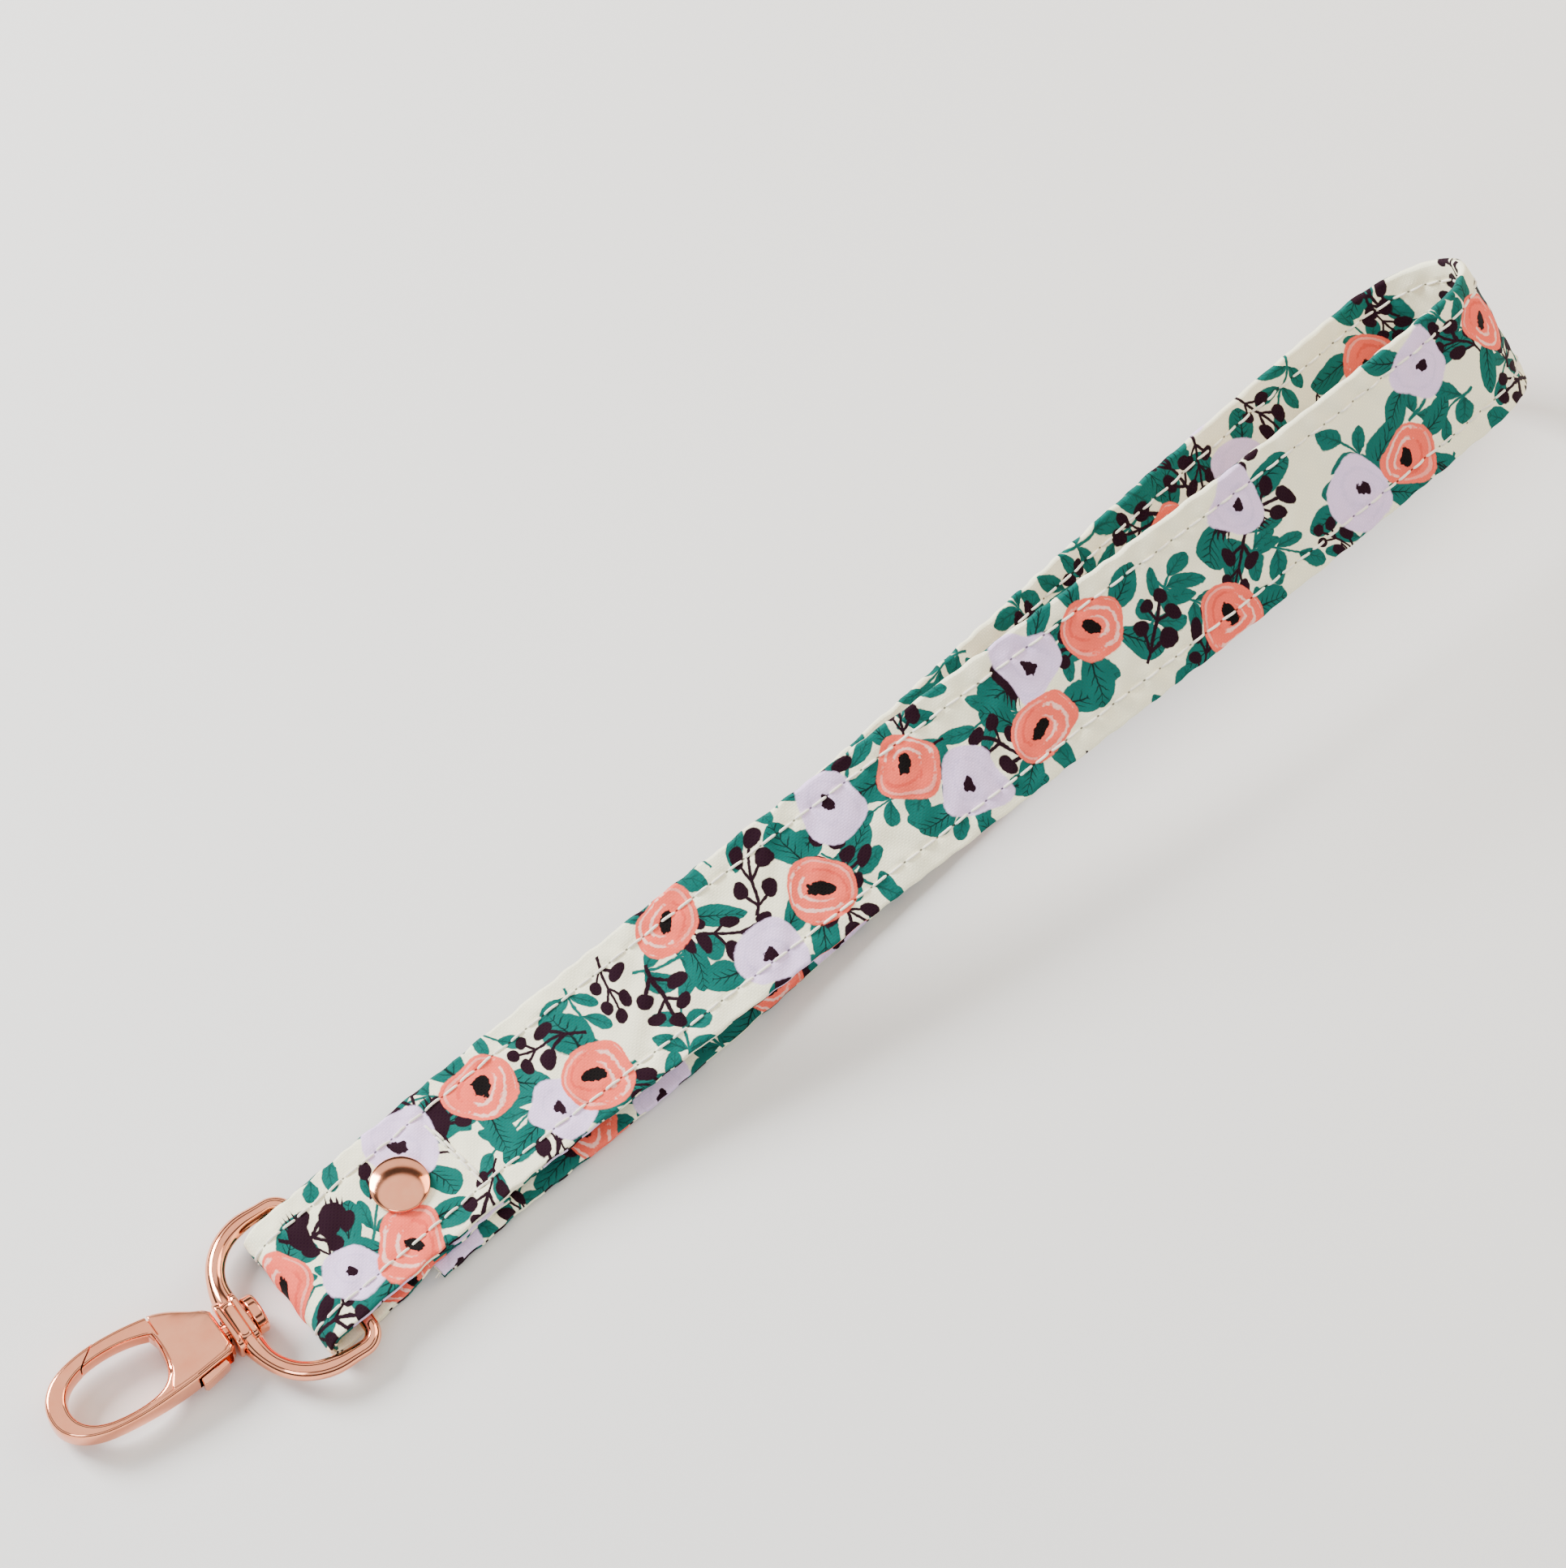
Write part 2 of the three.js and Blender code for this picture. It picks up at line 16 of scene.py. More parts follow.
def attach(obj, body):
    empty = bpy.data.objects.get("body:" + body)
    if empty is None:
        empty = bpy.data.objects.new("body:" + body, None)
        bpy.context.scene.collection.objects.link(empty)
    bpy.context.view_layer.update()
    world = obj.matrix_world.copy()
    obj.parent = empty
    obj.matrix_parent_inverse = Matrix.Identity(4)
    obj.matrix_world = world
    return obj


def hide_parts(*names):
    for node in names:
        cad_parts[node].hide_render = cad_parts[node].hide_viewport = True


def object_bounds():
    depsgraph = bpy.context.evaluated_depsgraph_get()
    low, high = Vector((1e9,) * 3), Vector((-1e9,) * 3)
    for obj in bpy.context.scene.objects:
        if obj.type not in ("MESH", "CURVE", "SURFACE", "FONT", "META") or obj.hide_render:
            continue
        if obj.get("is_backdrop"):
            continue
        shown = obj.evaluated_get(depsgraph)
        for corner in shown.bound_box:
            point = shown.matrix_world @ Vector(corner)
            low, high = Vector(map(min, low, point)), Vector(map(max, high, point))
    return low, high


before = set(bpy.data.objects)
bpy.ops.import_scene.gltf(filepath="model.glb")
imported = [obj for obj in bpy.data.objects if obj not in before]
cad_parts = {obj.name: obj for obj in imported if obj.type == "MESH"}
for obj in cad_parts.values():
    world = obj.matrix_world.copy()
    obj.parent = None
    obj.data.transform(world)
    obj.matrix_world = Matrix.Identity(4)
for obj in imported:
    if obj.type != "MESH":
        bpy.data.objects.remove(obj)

CAD_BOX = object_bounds()
MM = 0.001
RANDOM = random.Random(7)

# ---- Sizes in millimetres, as in the CAD ----
WIDTH = 18.8
THICK = 1.2
WALL = 0.3
LAYER_PITCH = 1.65
CENTRE_Y = -0.7
LOWER_Z = 1.5
TAIL_Z = LOWER_Z + LAYER_PITCH
TOP_Z = TAIL_Z + LAYER_PITCH
STACK_TOP = TOP_Z + THICK / 2
FOLD_LOW_Z = 0.75
FOLD_RADIUS = (TOP_Z - FOLD_LOW_Z) / 2
BAR_Z = (TOP_Z + FOLD_LOW_Z) / 2
FOLD_TIP_X = -19.8
TAIL_END_X = 9.2
TAIL_DIP_START = -2.6
TAIL_DIP_END = -9.5
LOWER_END_X = -3.2
LOOP_START = 10.0
BEND_CENTRE = 178.6
BEND_STRETCH = 1.1
FAR_GAP = 21.3
FAR_ROLL = math.radians(44)
FAR_SHIFT = -14.3
LOOP_EASE = 1.2
LIFT_NEAR = 0.9
LIFT_FAR = 0.1
LOWER_SLIP = -1.5
SLIP_END = 70.0
FOLD_SLANT = 0.09
SLANT_START = -8.0
SLANT_LENGTH = 9.0
TACK_X = 8.0
STITCH_T = WIDTH / 2 - 3.0
STITCH_PITCH = 2.7
STITCH_LENGTH = 2.25
THREAD_RADIUS = 0.185
YARN_RADIUS = 0.05
YARNS_PER_END = 46
WEAVE_PITCH = 0.32
PRINT_GAP = 1.0  # unprinted cloth between the two faces' share of the print


# ---- Meshes ----
def piece(name, vertices, faces, material, body, slot, smooth_angle=40):
    """A new mesh object from vertices in millimetres, riding on a body."""
    mesh = bpy.data.meshes.new(name)
    scaled = [(x * MM, y * MM, z * MM) for x, y, z in np.asarray(vertices, float)]
    mesh.from_pydata(scaled, [], faces)
    return dress(name, mesh, material, body, slot, smooth_angle)


def dress(name, mesh, material, body, slot, smooth_angle=40):
    """Makes a piece of a mesh in metres: smooth shading, a material and a body. The slot is not used."""
    mesh.validate()
    mesh.materials.clear()
    mesh.materials.append(material)
    mesh.polygons.foreach_set("use_smooth", [True] * len(mesh.polygons))
    mesh.set_sharp_from_angle(angle=math.radians(smooth_angle))
    thing = bpy.data.objects.new(name, mesh)
    bpy.context.scene.collection.objects.link(thing)
    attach(thing, body)
    return thing


def sweep_faces(rings, around, capped=True):
    """Faces of a closed section swept through rings of equal size."""
    faces = []
    for i in range(rings - 1):
        for k in range(around):
            n = (k + 1) % around
            faces.append((i * around + k, i * around + n, (i + 1) * around + n, (i + 1) * around + k))
    if capped:
        faces.append(tuple(reversed(range(around))))
        faces.append(tuple((rings - 1) * around + k for k in range(around)))
    return faces


# ---- The strap's path ----
def smoothstep(share):
    return share * share * (3 - 2 * share)


def runs_at(x):
    """The two runs of the loop at x: y and z of each centreline, and their roll."""
    share = min(max((x - LOOP_START) / (BEND_CENTRE - LOOP_START), 0), 1)
    openness = math.sin(share * math.pi / 2) ** LOOP_EASE
    roll = FAR_ROLL * openness
    gap = 2 * LAYER_PITCH + (FAR_GAP - 2 * LAYER_PITCH) * openness
    lift = LIFT_NEAR + (LIFT_FAR - LIFT_NEAR) * (1 - (1 - share) ** 2)
    low_z = WIDTH / 2 * math.sin(roll) + THICK / 2 * math.cos(roll) + lift
    high_y = CENTRE_Y + FAR_SHIFT * openness
    high = (high_y, low_z + gap * math.cos(roll))
    low = (high_y + gap * math.sin(roll) + slip_at(x), low_z)
    return high, low, roll


def slip_at(x):
    """Sideways slip of the lower run's end under the other layers."""
    return LOWER_SLIP * (1 - smoothstep(min(max(x / SLIP_END, 0), 1)))


def path_stations():
    """Rows of x, y, z and roll from the tail's end round the bar, along the loop and back."""
    tail = TAIL_DIP_START - TAIL_END_X
    rows = [(TAIL_END_X + tail * i / 20, CENTRE_Y, TAIL_Z, 0) for i in range(20)]
    for i in range(25):
        share = i / 24
        x = TAIL_DIP_START + (TAIL_DIP_END - TAIL_DIP_START) * share
        rows.append((x, CENTRE_Y, TAIL_Z + (FOLD_LOW_Z - TAIL_Z) * smoothstep(share), 0))
    fold_x = FOLD_TIP_X + THICK / 2 + FOLD_RADIUS
    low = fold_x - TAIL_DIP_END
    rows += [(TAIL_DIP_END + low * i / 10, CENTRE_Y, FOLD_LOW_Z, 0) for i in range(1, 10)]
    for i in range(25):
        turn = math.pi * i / 24
        x = fold_x - FOLD_RADIUS * math.sin(turn)
        rows.append((x, CENTRE_Y, BAR_Z - FOLD_RADIUS * math.cos(turn), 0))
    rows += [(fold_x + (LOOP_START - fold_x) * i / 60, CENTRE_Y, TOP_Z, 0) for i in range(1, 60)]
    xs = [LOOP_START + (BEND_CENTRE - LOOP_START) * i / 300 for i in range(301)]
    rows += [(x, *runs_at(x)[0], runs_at(x)[2]) for x in xs]
    (high_y, high_z), _, roll = runs_at(BEND_CENTRE)
    radius = FAR_GAP / 2
    for i in range(1, 60):
        turn = math.pi * i / 60
        inward = radius - radius * math.cos(turn)
        x = BEND_CENTRE + radius * BEND_STRETCH * math.sin(turn)
        rows.append((x, high_y + inward * math.sin(roll), high_z - inward * math.cos(roll), roll))
    rows += [(x, *runs_at(x)[1], runs_at(x)[2]) for x in reversed(xs)]
    ends = [LOOP_START + (LOWER_END_X - LOOP_START) * i / 24 for i in range(1, 25)]
    rows += [(x, CENTRE_Y + slip_at(x), LOWER_Z, 0) for x in ends]
    return np.array(rows)


class Path:
    """The strap's centreline by arc length, with its across and outward directions."""

    def __init__(self, rows):
        steps = np.linalg.norm(np.diff(rows[:, :3], axis=0), axis=1)
        self.knots = np.concatenate([[0], np.cumsum(steps)])
        self.length = self.knots[-1]
        self.rows = rows

    def at(self, s):
        s = np.asarray(s, float)
        here, roll = self._place(s), np.interp(s, self.knots, self.rows[:, 3])
        along = self._place(s + 0.6) - self._place(s - 0.6)
        along /= np.linalg.norm(along, axis=-1, keepdims=True)
        across = np.stack([np.zeros_like(roll), np.cos(roll), np.sin(roll)], -1)
        across -= along * np.sum(across * along, -1, keepdims=True)
        across /= np.linalg.norm(across, axis=-1, keepdims=True)
        return here, along, across, np.cross(along, across)

    def _place(self, s):
        inside = np.clip(s, 0, self.length)
        place = np.stack([np.interp(inside, self.knots, self.rows[:, i]) for i in range(3)], -1)
        first = (self.rows[1, :3] - self.rows[0, :3]) / (self.knots[1] - self.knots[0])
        last = (self.rows[-1, :3] - self.rows[-2, :3]) / (self.knots[-1] - self.knots[-2])
        before = np.minimum(s, 0)[..., None] * first
        beyond = np.maximum(s - self.length, 0)[..., None] * last
        return place + before + beyond


PATH = Path(path_stations())


def on_cloth(s, t, height):
    """The place at s along, t across and a height off the strap's middle. The fold leans with the bar."""
    here, _, across, outward = PATH.at(s)
    while here.ndim < np.ndim(t) + 1:
        here, across, outward = here[:, None], across[:, None], outward[:, None]
    place = here + across * np.asarray(t)[..., None] + outward * np.asarray(height)[..., None]
    share = np.clip((SLANT_START - place[..., 0]) / SLANT_LENGTH, 0, 1)
    place[..., 0] += FOLD_SLANT * (place[..., 1] - CENTRE_Y) * smoothstep(share)
    return place


def length_at_top(x):
    """The distance along the strap of a place x on the upper run beside the rivet."""
    rows = PATH.rows
    flat = (np.abs(rows[:, 2] - TOP_Z) < 1e-6) & (rows[:, 3] == 0)
    return float(np.interp(x, rows[flat, 0], PATH.knots[flat]))


TACK_S = length_at_top(TACK_X)
RIVET_S = length_at_top(0)


# ---- The cloth's surface ----
GROOVE_DEPTH = 0.15
PUCKER_HEIGHT = 0.1
RIPPLE_HEIGHT = 0.17
TACK_DENT = 0.16
RIVET_DENT = 0.12
SLEEVE_LIP = 0.27
WAVES = [(RANDOM.uniform(4, 16), RANDOM.uniform(-0.25, 0.25), RANDOM.uniform(0, 6.3)) for _ in range(12)]


def ripple(s, t, side):
    """A gentle unevenness of the cloth, from -1 to 1."""
    total = 0
    for wavelength, skew, phase in WAVES:
        total = total + np.sin(2 * np.pi * (s / wavelength + skew * t) + phase + 1.7 * side)
    return np.tanh(total / 3.4)


def relief(s, t, side):
    """How far the cloth's outer (side 1) or inner (side -1) face stands off its flat form at (s, t)."""
    stitched = np.abs(np.abs(t) - STITCH_T)
    pull = 0.5 + 0.5 * np.cos(2 * np.pi * s / STITCH_PITCH)
    groove = -GROOVE_DEPTH * np.exp(-(stitched / 0.55) ** 2) * (0.6 + 0.4 * pull)
    beat = 2 * np.pi * s / (1.5 * STITCH_PITCH) + 2.2 * np.sin(s / 7.3) + t
    pucker = PUCKER_HEIGHT * np.exp(-(stitched / 2.0) ** 2) * np.sin(beat)
    edge = np.clip((WIDTH / 2 - np.abs(t)) / 0.9, 0, 1)
    dents = 0
    if side > 0:
        tack = np.exp(-((s - TACK_S) / 0.8) ** 2) * np.clip((7.0 - np.abs(t)) / 1.5, 0, 1)
        rivet = np.exp(-(((s - RIVET_S) ** 2 + (t + CENTRE_Y) ** 2) / 24.0) ** 2)
        dents = -TACK_DENT * tack - RIVET_DENT * rivet
    return (groove + pucker + dents + RIPPLE_HEIGHT * ripple(s, t, side)) * edge


def face_columns():
    """Places across a face, closer together along the stitching."""
    columns = set(np.round(np.linspace(-8.8, 8.8, 25), 3))
    for edge in (-STITCH_T, STITCH_T):
        columns |= {round(edge + step, 3) for step in (-0.9, -0.55, -0.3, 0, 0.3, 0.55, 0.9)}
    return sorted(columns)


def sleeve_section():
    """The sleeve's section as rows of t, height and side: the outside, then the inside. The two folded
    edges meet in a slit along -t."""
    columns = face_columns()
    half, lip = THICK / 2, SLEEVE_LIP
    fold = half * 0.8
    turns = [math.pi * i / 5 for i in range(6)]
    lips = [(-WIDTH / 2 + lip - lip * math.sin(turn), -lip * math.cos(turn)) for turn in turns]
    rows = [(t, half - lip + rise, 1) for t, rise in lips]
    rows += [(t, half, 1) for t in columns]
    for i in range(9):
        turn = math.pi * i / 8
        t = WIDTH / 2 - fold + fold * math.sin(turn)
        rows.append((t, half * math.cos(turn), 1 if i < 4 else -1))
    rows += [(t, -half, -1) for t in reversed(columns)]
    rows += [(t, -half + lip + rise, -1) for t, rise in lips]
    outside = np.array(rows, float)
    inside = outside.copy()
    inner_half = half - WALL
    inside[:, 0] = np.clip(outside[:, 0], -WIDTH / 2 + 2 * lip, WIDTH / 2 - WALL)
    inside[:, 1] = np.clip(outside[:, 1], -inner_half, inner_half)
    inside[:, 1] = np.where(np.abs(inside[:, 1]) < 0.02, np.sign(outside[:, 1] + 1e-9) * 0.02, inside[:, 1])
    return outside, inside[::-1]


def build_strap(material):
    outside, inside = sleeve_section()
    section = np.concatenate([outside, inside])
    around = len(section)
    stations = np.arange(0, PATH.length + 0.3, 0.6)
    stations[-1] = PATH.length
    s = stations[:, None]
    t = section[None, :, 0] + 0 * s
    side = section[None, :, 2]
    stand_off = np.where(side > 0, relief(s, t, 1), -relief(s, t, -1))
    height = section[None, :, 1] + np.where(np.arange(around) < len(outside), stand_off, 0)
    sway = 0.12 * ripple(s * 1.3, 0 * t, 0) * np.sign(t) * np.clip(np.abs(t) - 8, 0, 1)
    points = on_cloth(stations, t + sway, height)
    faces = sweep_faces(len(stations), around, capped=False)
    last = (len(stations) - 1) * around
    for k in range(len(outside) - 1):
        pair = (k, around - 1 - k, around - 2 - k, k + 1)
        faces.append(pair)
        faces.append(tuple(last + i for i in reversed(pair)))
    strap = piece("printed_strap", points.reshape(-1, 3), faces, material, "strap", "printed_cotton", 60)
    place = np.where(side > 0, t, WIDTH + PRINT_GAP - t) + 0 * s
    printed = np.stack([s + 0 * t, place, 0 * (s + t)], -1).reshape(-1, 3)
    attribute = strap.data.attributes.new("print_place", "FLOAT_VECTOR", "POINT")
    attribute.data.foreach_set("vector", printed.ravel())
    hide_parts("strap_fabric")


def build_padding(material):
    """The interfacing: a thin sheet along the middle of the sleeve, clear of the cloth everywhere."""
    columns = np.linspace(-1, 1, 9) * (WIDTH / 2 - WALL - 0.4)
    half = THICK / 2 - WALL - 0.14
    t = np.concatenate([columns, columns[::-1]])[None, :]
    height = np.concatenate([0 * columns + half, 0 * columns - half])[None, :]
    stations = np.linspace(0.3, PATH.length - 0.3, int(PATH.length))
    along = 0 * stations[:, None]
    points = on_cloth(stations, t + along, height + along)
    faces = sweep_faces(len(stations), t.size)
    sheet = piece("interfacing_sheet", points.reshape(-1, 3), faces, material, "strap", "interfacing")
    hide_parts("strap_interfacing")


# ---- Stitching ----
def tube(points, radii, sides=8, up=(0, 0, 1)):
    """A closed tube through points, with its section's sides counted from across the up direction."""
    points = np.asarray(points, float)
    along = np.gradient(points, axis=0)
    along /= np.linalg.norm(along, axis=1, keepdims=True)
    up = np.broadcast_to(np.asarray(up, float), points.shape)
    side = np.cross(along, up)
    side /= np.linalg.norm(side, axis=1, keepdims=True)
    rise = np.cross(side, along)
    turn = np.arange(sides) * 2 * np.pi / sides
    radii = np.broadcast_to(radii, len(points))[:, None, None]
    ring = side[:, None] * np.cos(turn)[None, :, None] + rise[:, None] * np.sin(turn)[None, :, None]
    return (points[:, None] + radii * ring).reshape(-1, 3), sweep_faces(len(points), sides)


def joined(tubes):
    """One list of vertices and faces from many."""
    vertices, faces, start = [], [], 0
    for part_vertices, part_faces in tubes:
        vertices.append(part_vertices)
        faces += [tuple(start + i for i in face) for face in part_faces]
        start += len(part_vertices)
    return np.concatenate(vertices), faces


def stitch(s_mid, t_mid, side, crossing=False):
    """One stitch on a face of the strap: it rises out of its hole, runs along or across the cloth and goes
    down again."""
    share = np.linspace(-1, 1, 9)
    run = share * STITCH_LENGTH / 2 * RANDOM.uniform(0.95, 1.04)
    slant = share * RANDOM.uniform(-0.06, 0.06) + RANDOM.uniform(-0.04, 0.04)
    s, t = (s_mid + slant, t_mid + run) if crossing else (s_mid + run, t_mid + slant)
    height = THICK / 2 + relief(s, t, side) + 0.14 - 0.36 * share ** 6
    points = on_cloth(s, t, side * height)
    outward = PATH.at([s_mid])[3][0]
    radii = THREAD_RADIUS * (1 - 0.35 * share ** 8)
    return tube(points, radii, up=outward * side)


def build_topstitching(material):
    rows = {
        "topstitch_needle_open_edge": (-STITCH_T, 1),
        "topstitch_needle_fold_edge": (STITCH_T, 1),
        "topstitch_bobbin_open_edge": (-STITCH_T, -1),
        "topstitch_bobbin_fold_edge": (STITCH_T, -1),
    }
    for node, (t, side) in rows.items():
        count = int((PATH.length - 1.5) / STITCH_PITCH)
        stitches = [stitch((i + 0.5) * STITCH_PITCH, t, side) for i in range(count)]
        vertices, faces = joined(stitches)
        row = piece("stitches_" + node[10:], vertices, faces, material, "strap", "thread")
        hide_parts(node)


def build_tack(material):
    """The short row across the strap that closes the loop, sewn there and back through all the layers."""
    lower_s = PATH.length - (TACK_X - LOWER_END_X)
    for node, s_mid in (("tack_needle_thread", TACK_S), ("tack_bobbin_thread", lower_s)):
        stitches = []
        for offset, first, count in ((-0.12, -4.9, 5), (0.26, -3.8, 4)):
            stitches += [stitch(s_mid + offset, first + 2.2 * i, 1, True) for i in range(count)]
        vertices, faces = joined(stitches)
        row = piece("stitches_" + node[:11], vertices, faces, material, "strap", "thread")
        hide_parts(node)


def build_fray(material):
    """Loose yarns at the strap's two cut ends."""
    yarns = []
    for s, way in ((0.0, -1), (PATH.length, 1)):
        here, along, across, outward = (row[0] for row in PATH.at([s]))
        for _ in range(YARNS_PER_END):
            t = RANDOM.uniform(-9.0, 9.0)
            height = RANDOM.choice((-1, 1)) * RANDOM.uniform(0.3, 0.52)
            reach = RANDOM.uniform(0.3, 1.4)
            bend = RANDOM.uniform(-0.5, 0.5)
            root = here + across * t + outward * height - along * way * 0.3
            share = np.linspace(0, 1, 6)[:, None]
            points = root + along * way * share * (reach + 0.3) + across * bend * share ** 2
            yarns.append(tube(points, YARN_RADIUS, sides=5, up=outward))
    vertices, faces = joined(yarns)
    piece("frayed_yarns", vertices, faces, material, "strap", "printed_cotton")


# ---- Clasp frame: x towards the hook's tip, y towards the thumb tab ----
RING_DEPTH = 13.6
RING_YAW = math.radians(9)
BOSS_AT = (-26.6, 0.8)
BOSS_LENGTH = 3.2
BAR_RADIUS = 1.05
ARM_RADIUS = 1.25
RING_HALF_WIDTH = 11.65
HOOK_BASE = RING_DEPTH + BOSS_LENGTH / 2 + 0.35
LEAN = 0.078
ARM_HALF = 1.6
BODY_HALF = 2.2
GATE_HALF = 1.45
CLASP = (
    Matrix.Translation((
        BOSS_AT[0] + RING_DEPTH * math.cos(RING_YAW),
        BOSS_AT[1] - RING_DEPTH * math.sin(RING_YAW),
        BAR_Z,
    ))
    @ Matrix.Rotation(math.pi - RING_YAW, 4, "Z")
)
HOOK_FRAME = CLASP @ Matrix.Translation((HOOK_BASE, 0, 0))


def placed(vertices, matrix):
    """Vertices of a local frame in the part's frame."""
    vertices = np.asarray(vertices, float)
    turn = np.array(matrix.to_3x3())
    return vertices @ turn.T + np.array(matrix.translation)


def lathe(profile, segments=96, axis="z"):
    """A closed turned solid from rows of radius and height that start and end on the axis."""
    vertices = [(0, 0, profile[0][1])]
    for radius, height in profile[1:-1]:
        for k in range(segments):
            turn = 2 * math.pi * k / segments
            vertices.append((radius * math.cos(turn), radius * math.sin(turn), height))
    vertices.append((0, 0, profile[-1][1]))
    faces = []
    rings = len(profile) - 2
    for k in range(segments):
        n = (k + 1) % segments
        faces.append((0, 1 + n, 1 + k))
        for i in range(rings - 1):
            a = 1 + i * segments
            faces.append((a + k, a + n, a + segments + n, a + segments + k))
        a = 1 + (rings - 1) * segments
        faces.append((a + k, a + n, len(vertices) - 1))
    vertices = np.array(vertices)
    if axis == "x":
        vertices = vertices[:, [2, 0, 1]]
    return vertices, faces


def arc(centre, radius, start, end, steps=8):
    """Points of an arc from one angle in degrees to another."""
    angles = [math.radians(start + (end - start) * i / steps) for i in range(steps + 1)]
    return [(centre[0] + radius * math.cos(a), centre[1] + radius * math.sin(a)) for a in angles]


def build_rivet(material):
    """The domed cap on a rolled rim, and the flat back with its post."""
    rim_at, rim, back_rim, dome, shoulder = 3.45, 0.42, 0.4, 0.78, 0.63
    cap_base = STACK_TOP + 0.15 - 0.1
    rolled = arc((rim_at, cap_base + rim), rim, -90, 30)
    radii = np.linspace(3.72, 0.15, 22)
    crown = [(r, cap_base + shoulder + dome * (1 - (r / 3.8) ** 2) ** 0.85) for r in radii]
    profile = [(0, cap_base), (3.2, cap_base)] + rolled + crown + [(0, crown[-1][1])]
    cap = piece("rivet_cap_polished", *lathe(profile), material, "strap", "rose_gold", 50)
    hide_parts("rivet_cap")
    rolled = arc((rim_at, back_rim), back_rim, -90, 90)
    profile = [(0, 0), (3.0, 0)] + rolled + [(1.4, 0.8), (1.4, STACK_TOP), (0, STACK_TOP)]
    post = piece("rivet_back_polished", *lathe(profile), material, "strap", "rose_gold", 50)
    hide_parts("rivet_post")


def bezier(a, b, c, d, steps):
    """Points of a cubic curve, without its last point."""
    share = np.linspace(0, 1, steps, endpoint=False)[:, None]
    a, b, c, d = (np.array(p, float) for p in (a, b, c, d))
    rest = 1 - share
    return rest ** 3 * a + 3 * rest ** 2 * share * b + 3 * rest * share ** 2 * c + share ** 3 * d


def ring_path():
    """The wire's centreline from the boss round the bar and back to the boss."""
    boss_side = RING_DEPTH - 0.3
    arm_end = 4.6
    corner = 2.2
    pull = 0.45 * corner
    wide = RING_HALF_WIDTH
    half = [
        bezier((boss_side, 2.4), (boss_side + 0.1, 8.4), (arm_end + 4.9, wide), (arm_end, wide), 70),
        bezier((arm_end, wide), (arm_end - 0.7, wide), (corner + 0.7, wide), (corner, wide), 8),
        bezier((corner, wide), (pull, wide), (0, wide - pull), (0, wide - corner), 20),
    ]
    first = np.concatenate(half)
    bar = bezier((0, wide - corner), (0, 3), (0, -3), (0, corner - wide), 40)
    second = np.concatenate([[(0, corner - wide)], (first * (1, -1))[::-1]])
    flat = np.concatenate([first, bar, second])
    return np.column_stack([flat, np.zeros(len(flat))])


def build_ring(material):
    path = ring_path()
    swell = np.exp(-((RING_DEPTH - path[:, 0]) / 1.6) ** 2) * np.exp(-(np.abs(path[:, 1]) / 5.0) ** 4)
    thicker = (ARM_RADIUS - BAR_RADIUS) * smoothstep(np.clip((path[:, 0] - 3.0) / 4.0, 0, 1))
    wire_vertices, wire_faces = tube(path, BAR_RADIUS + thicker + 0.4 * swell, sides=32)
    low = RING_DEPTH - BOSS_LENGTH / 2
    block = bossed_block(3.6, 2.4, low, low + BOSS_LENGTH)
    wire = solid_of(placed(wire_vertices, CLASP), wire_faces)
    mesh = boolean(wire, solid_of(placed(block[0], CLASP), block[1]), "UNION")
    ring = dress("d_ring_polished", mesh, material, "ring", "rose_gold", 45)
    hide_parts("d_ring")


def bossed_block(half_width, half_height, low, high):
    """A block with rounded sides and a flange at each end, bored for the swivel's shank."""
    corner, edge = 1.5, 0.25
    outline = []
    for cy, cz, start in ((1, 1, 0), (-1, 1, 90), (-1, -1, 180), (1, -1, 270)):
        centre = (cy * (half_width - corner), cz * (half_height - corner))
        outline += arc(centre, corner, start, start + 90, 10)
    outline = np.array(outline)
    bore = 1.5 * outline / np.linalg.norm(outline, axis=1, keepdims=True)
    rounding = [(edge * (1 - math.sin(a)), edge * (1 - math.cos(a))) for a in (0, 0.4, 0.8, 1.2, math.pi / 2)]
    flange = [(0.75, 0), (0.82, 0.05), (0.9, 0.3), (1.0, 0.36)]
    rows = [(low + step, inset) for step, inset in rounding[::-1] + flange]
    rows += [(high - step, inset) for step, inset in flange[::-1] + rounding]
    rings = [(x, outline * (1 - inset / half_height)) for x, inset in rows]
    rings = [(low, bore)] + rings + [(high, bore), (low, bore)]
    vertices = [(x, y, z) for x, ring in rings for y, z in ring]
    return np.array(vertices), sweep_faces(len(rings), len(outline), capped=False)


def build_swivel(material):
    head_top = RING_DEPTH - BOSS_LENGTH / 2 - 0.25 - HOOK_BASE
    head_low = head_top - 1.6
    profile = [(0, head_low), (1.9, head_low)] + arc((2.15, head_low + 0.5), 0.5, -90, 0)
    profile += [(2.65, head_top - 0.3)] + arc((2.4, head_top - 0.25), 0.25, 0, 90)
    profile += [(1.15, head_top), (1.15, 2.6), (0, 2.6)]
    vertices, faces = lathe(profile, axis="x")
    swivel = piece("swivel_polished", placed(vertices, HOOK_FRAME), faces, material, "hook", "rose_gold", 40)
    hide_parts("swivel_rivet")


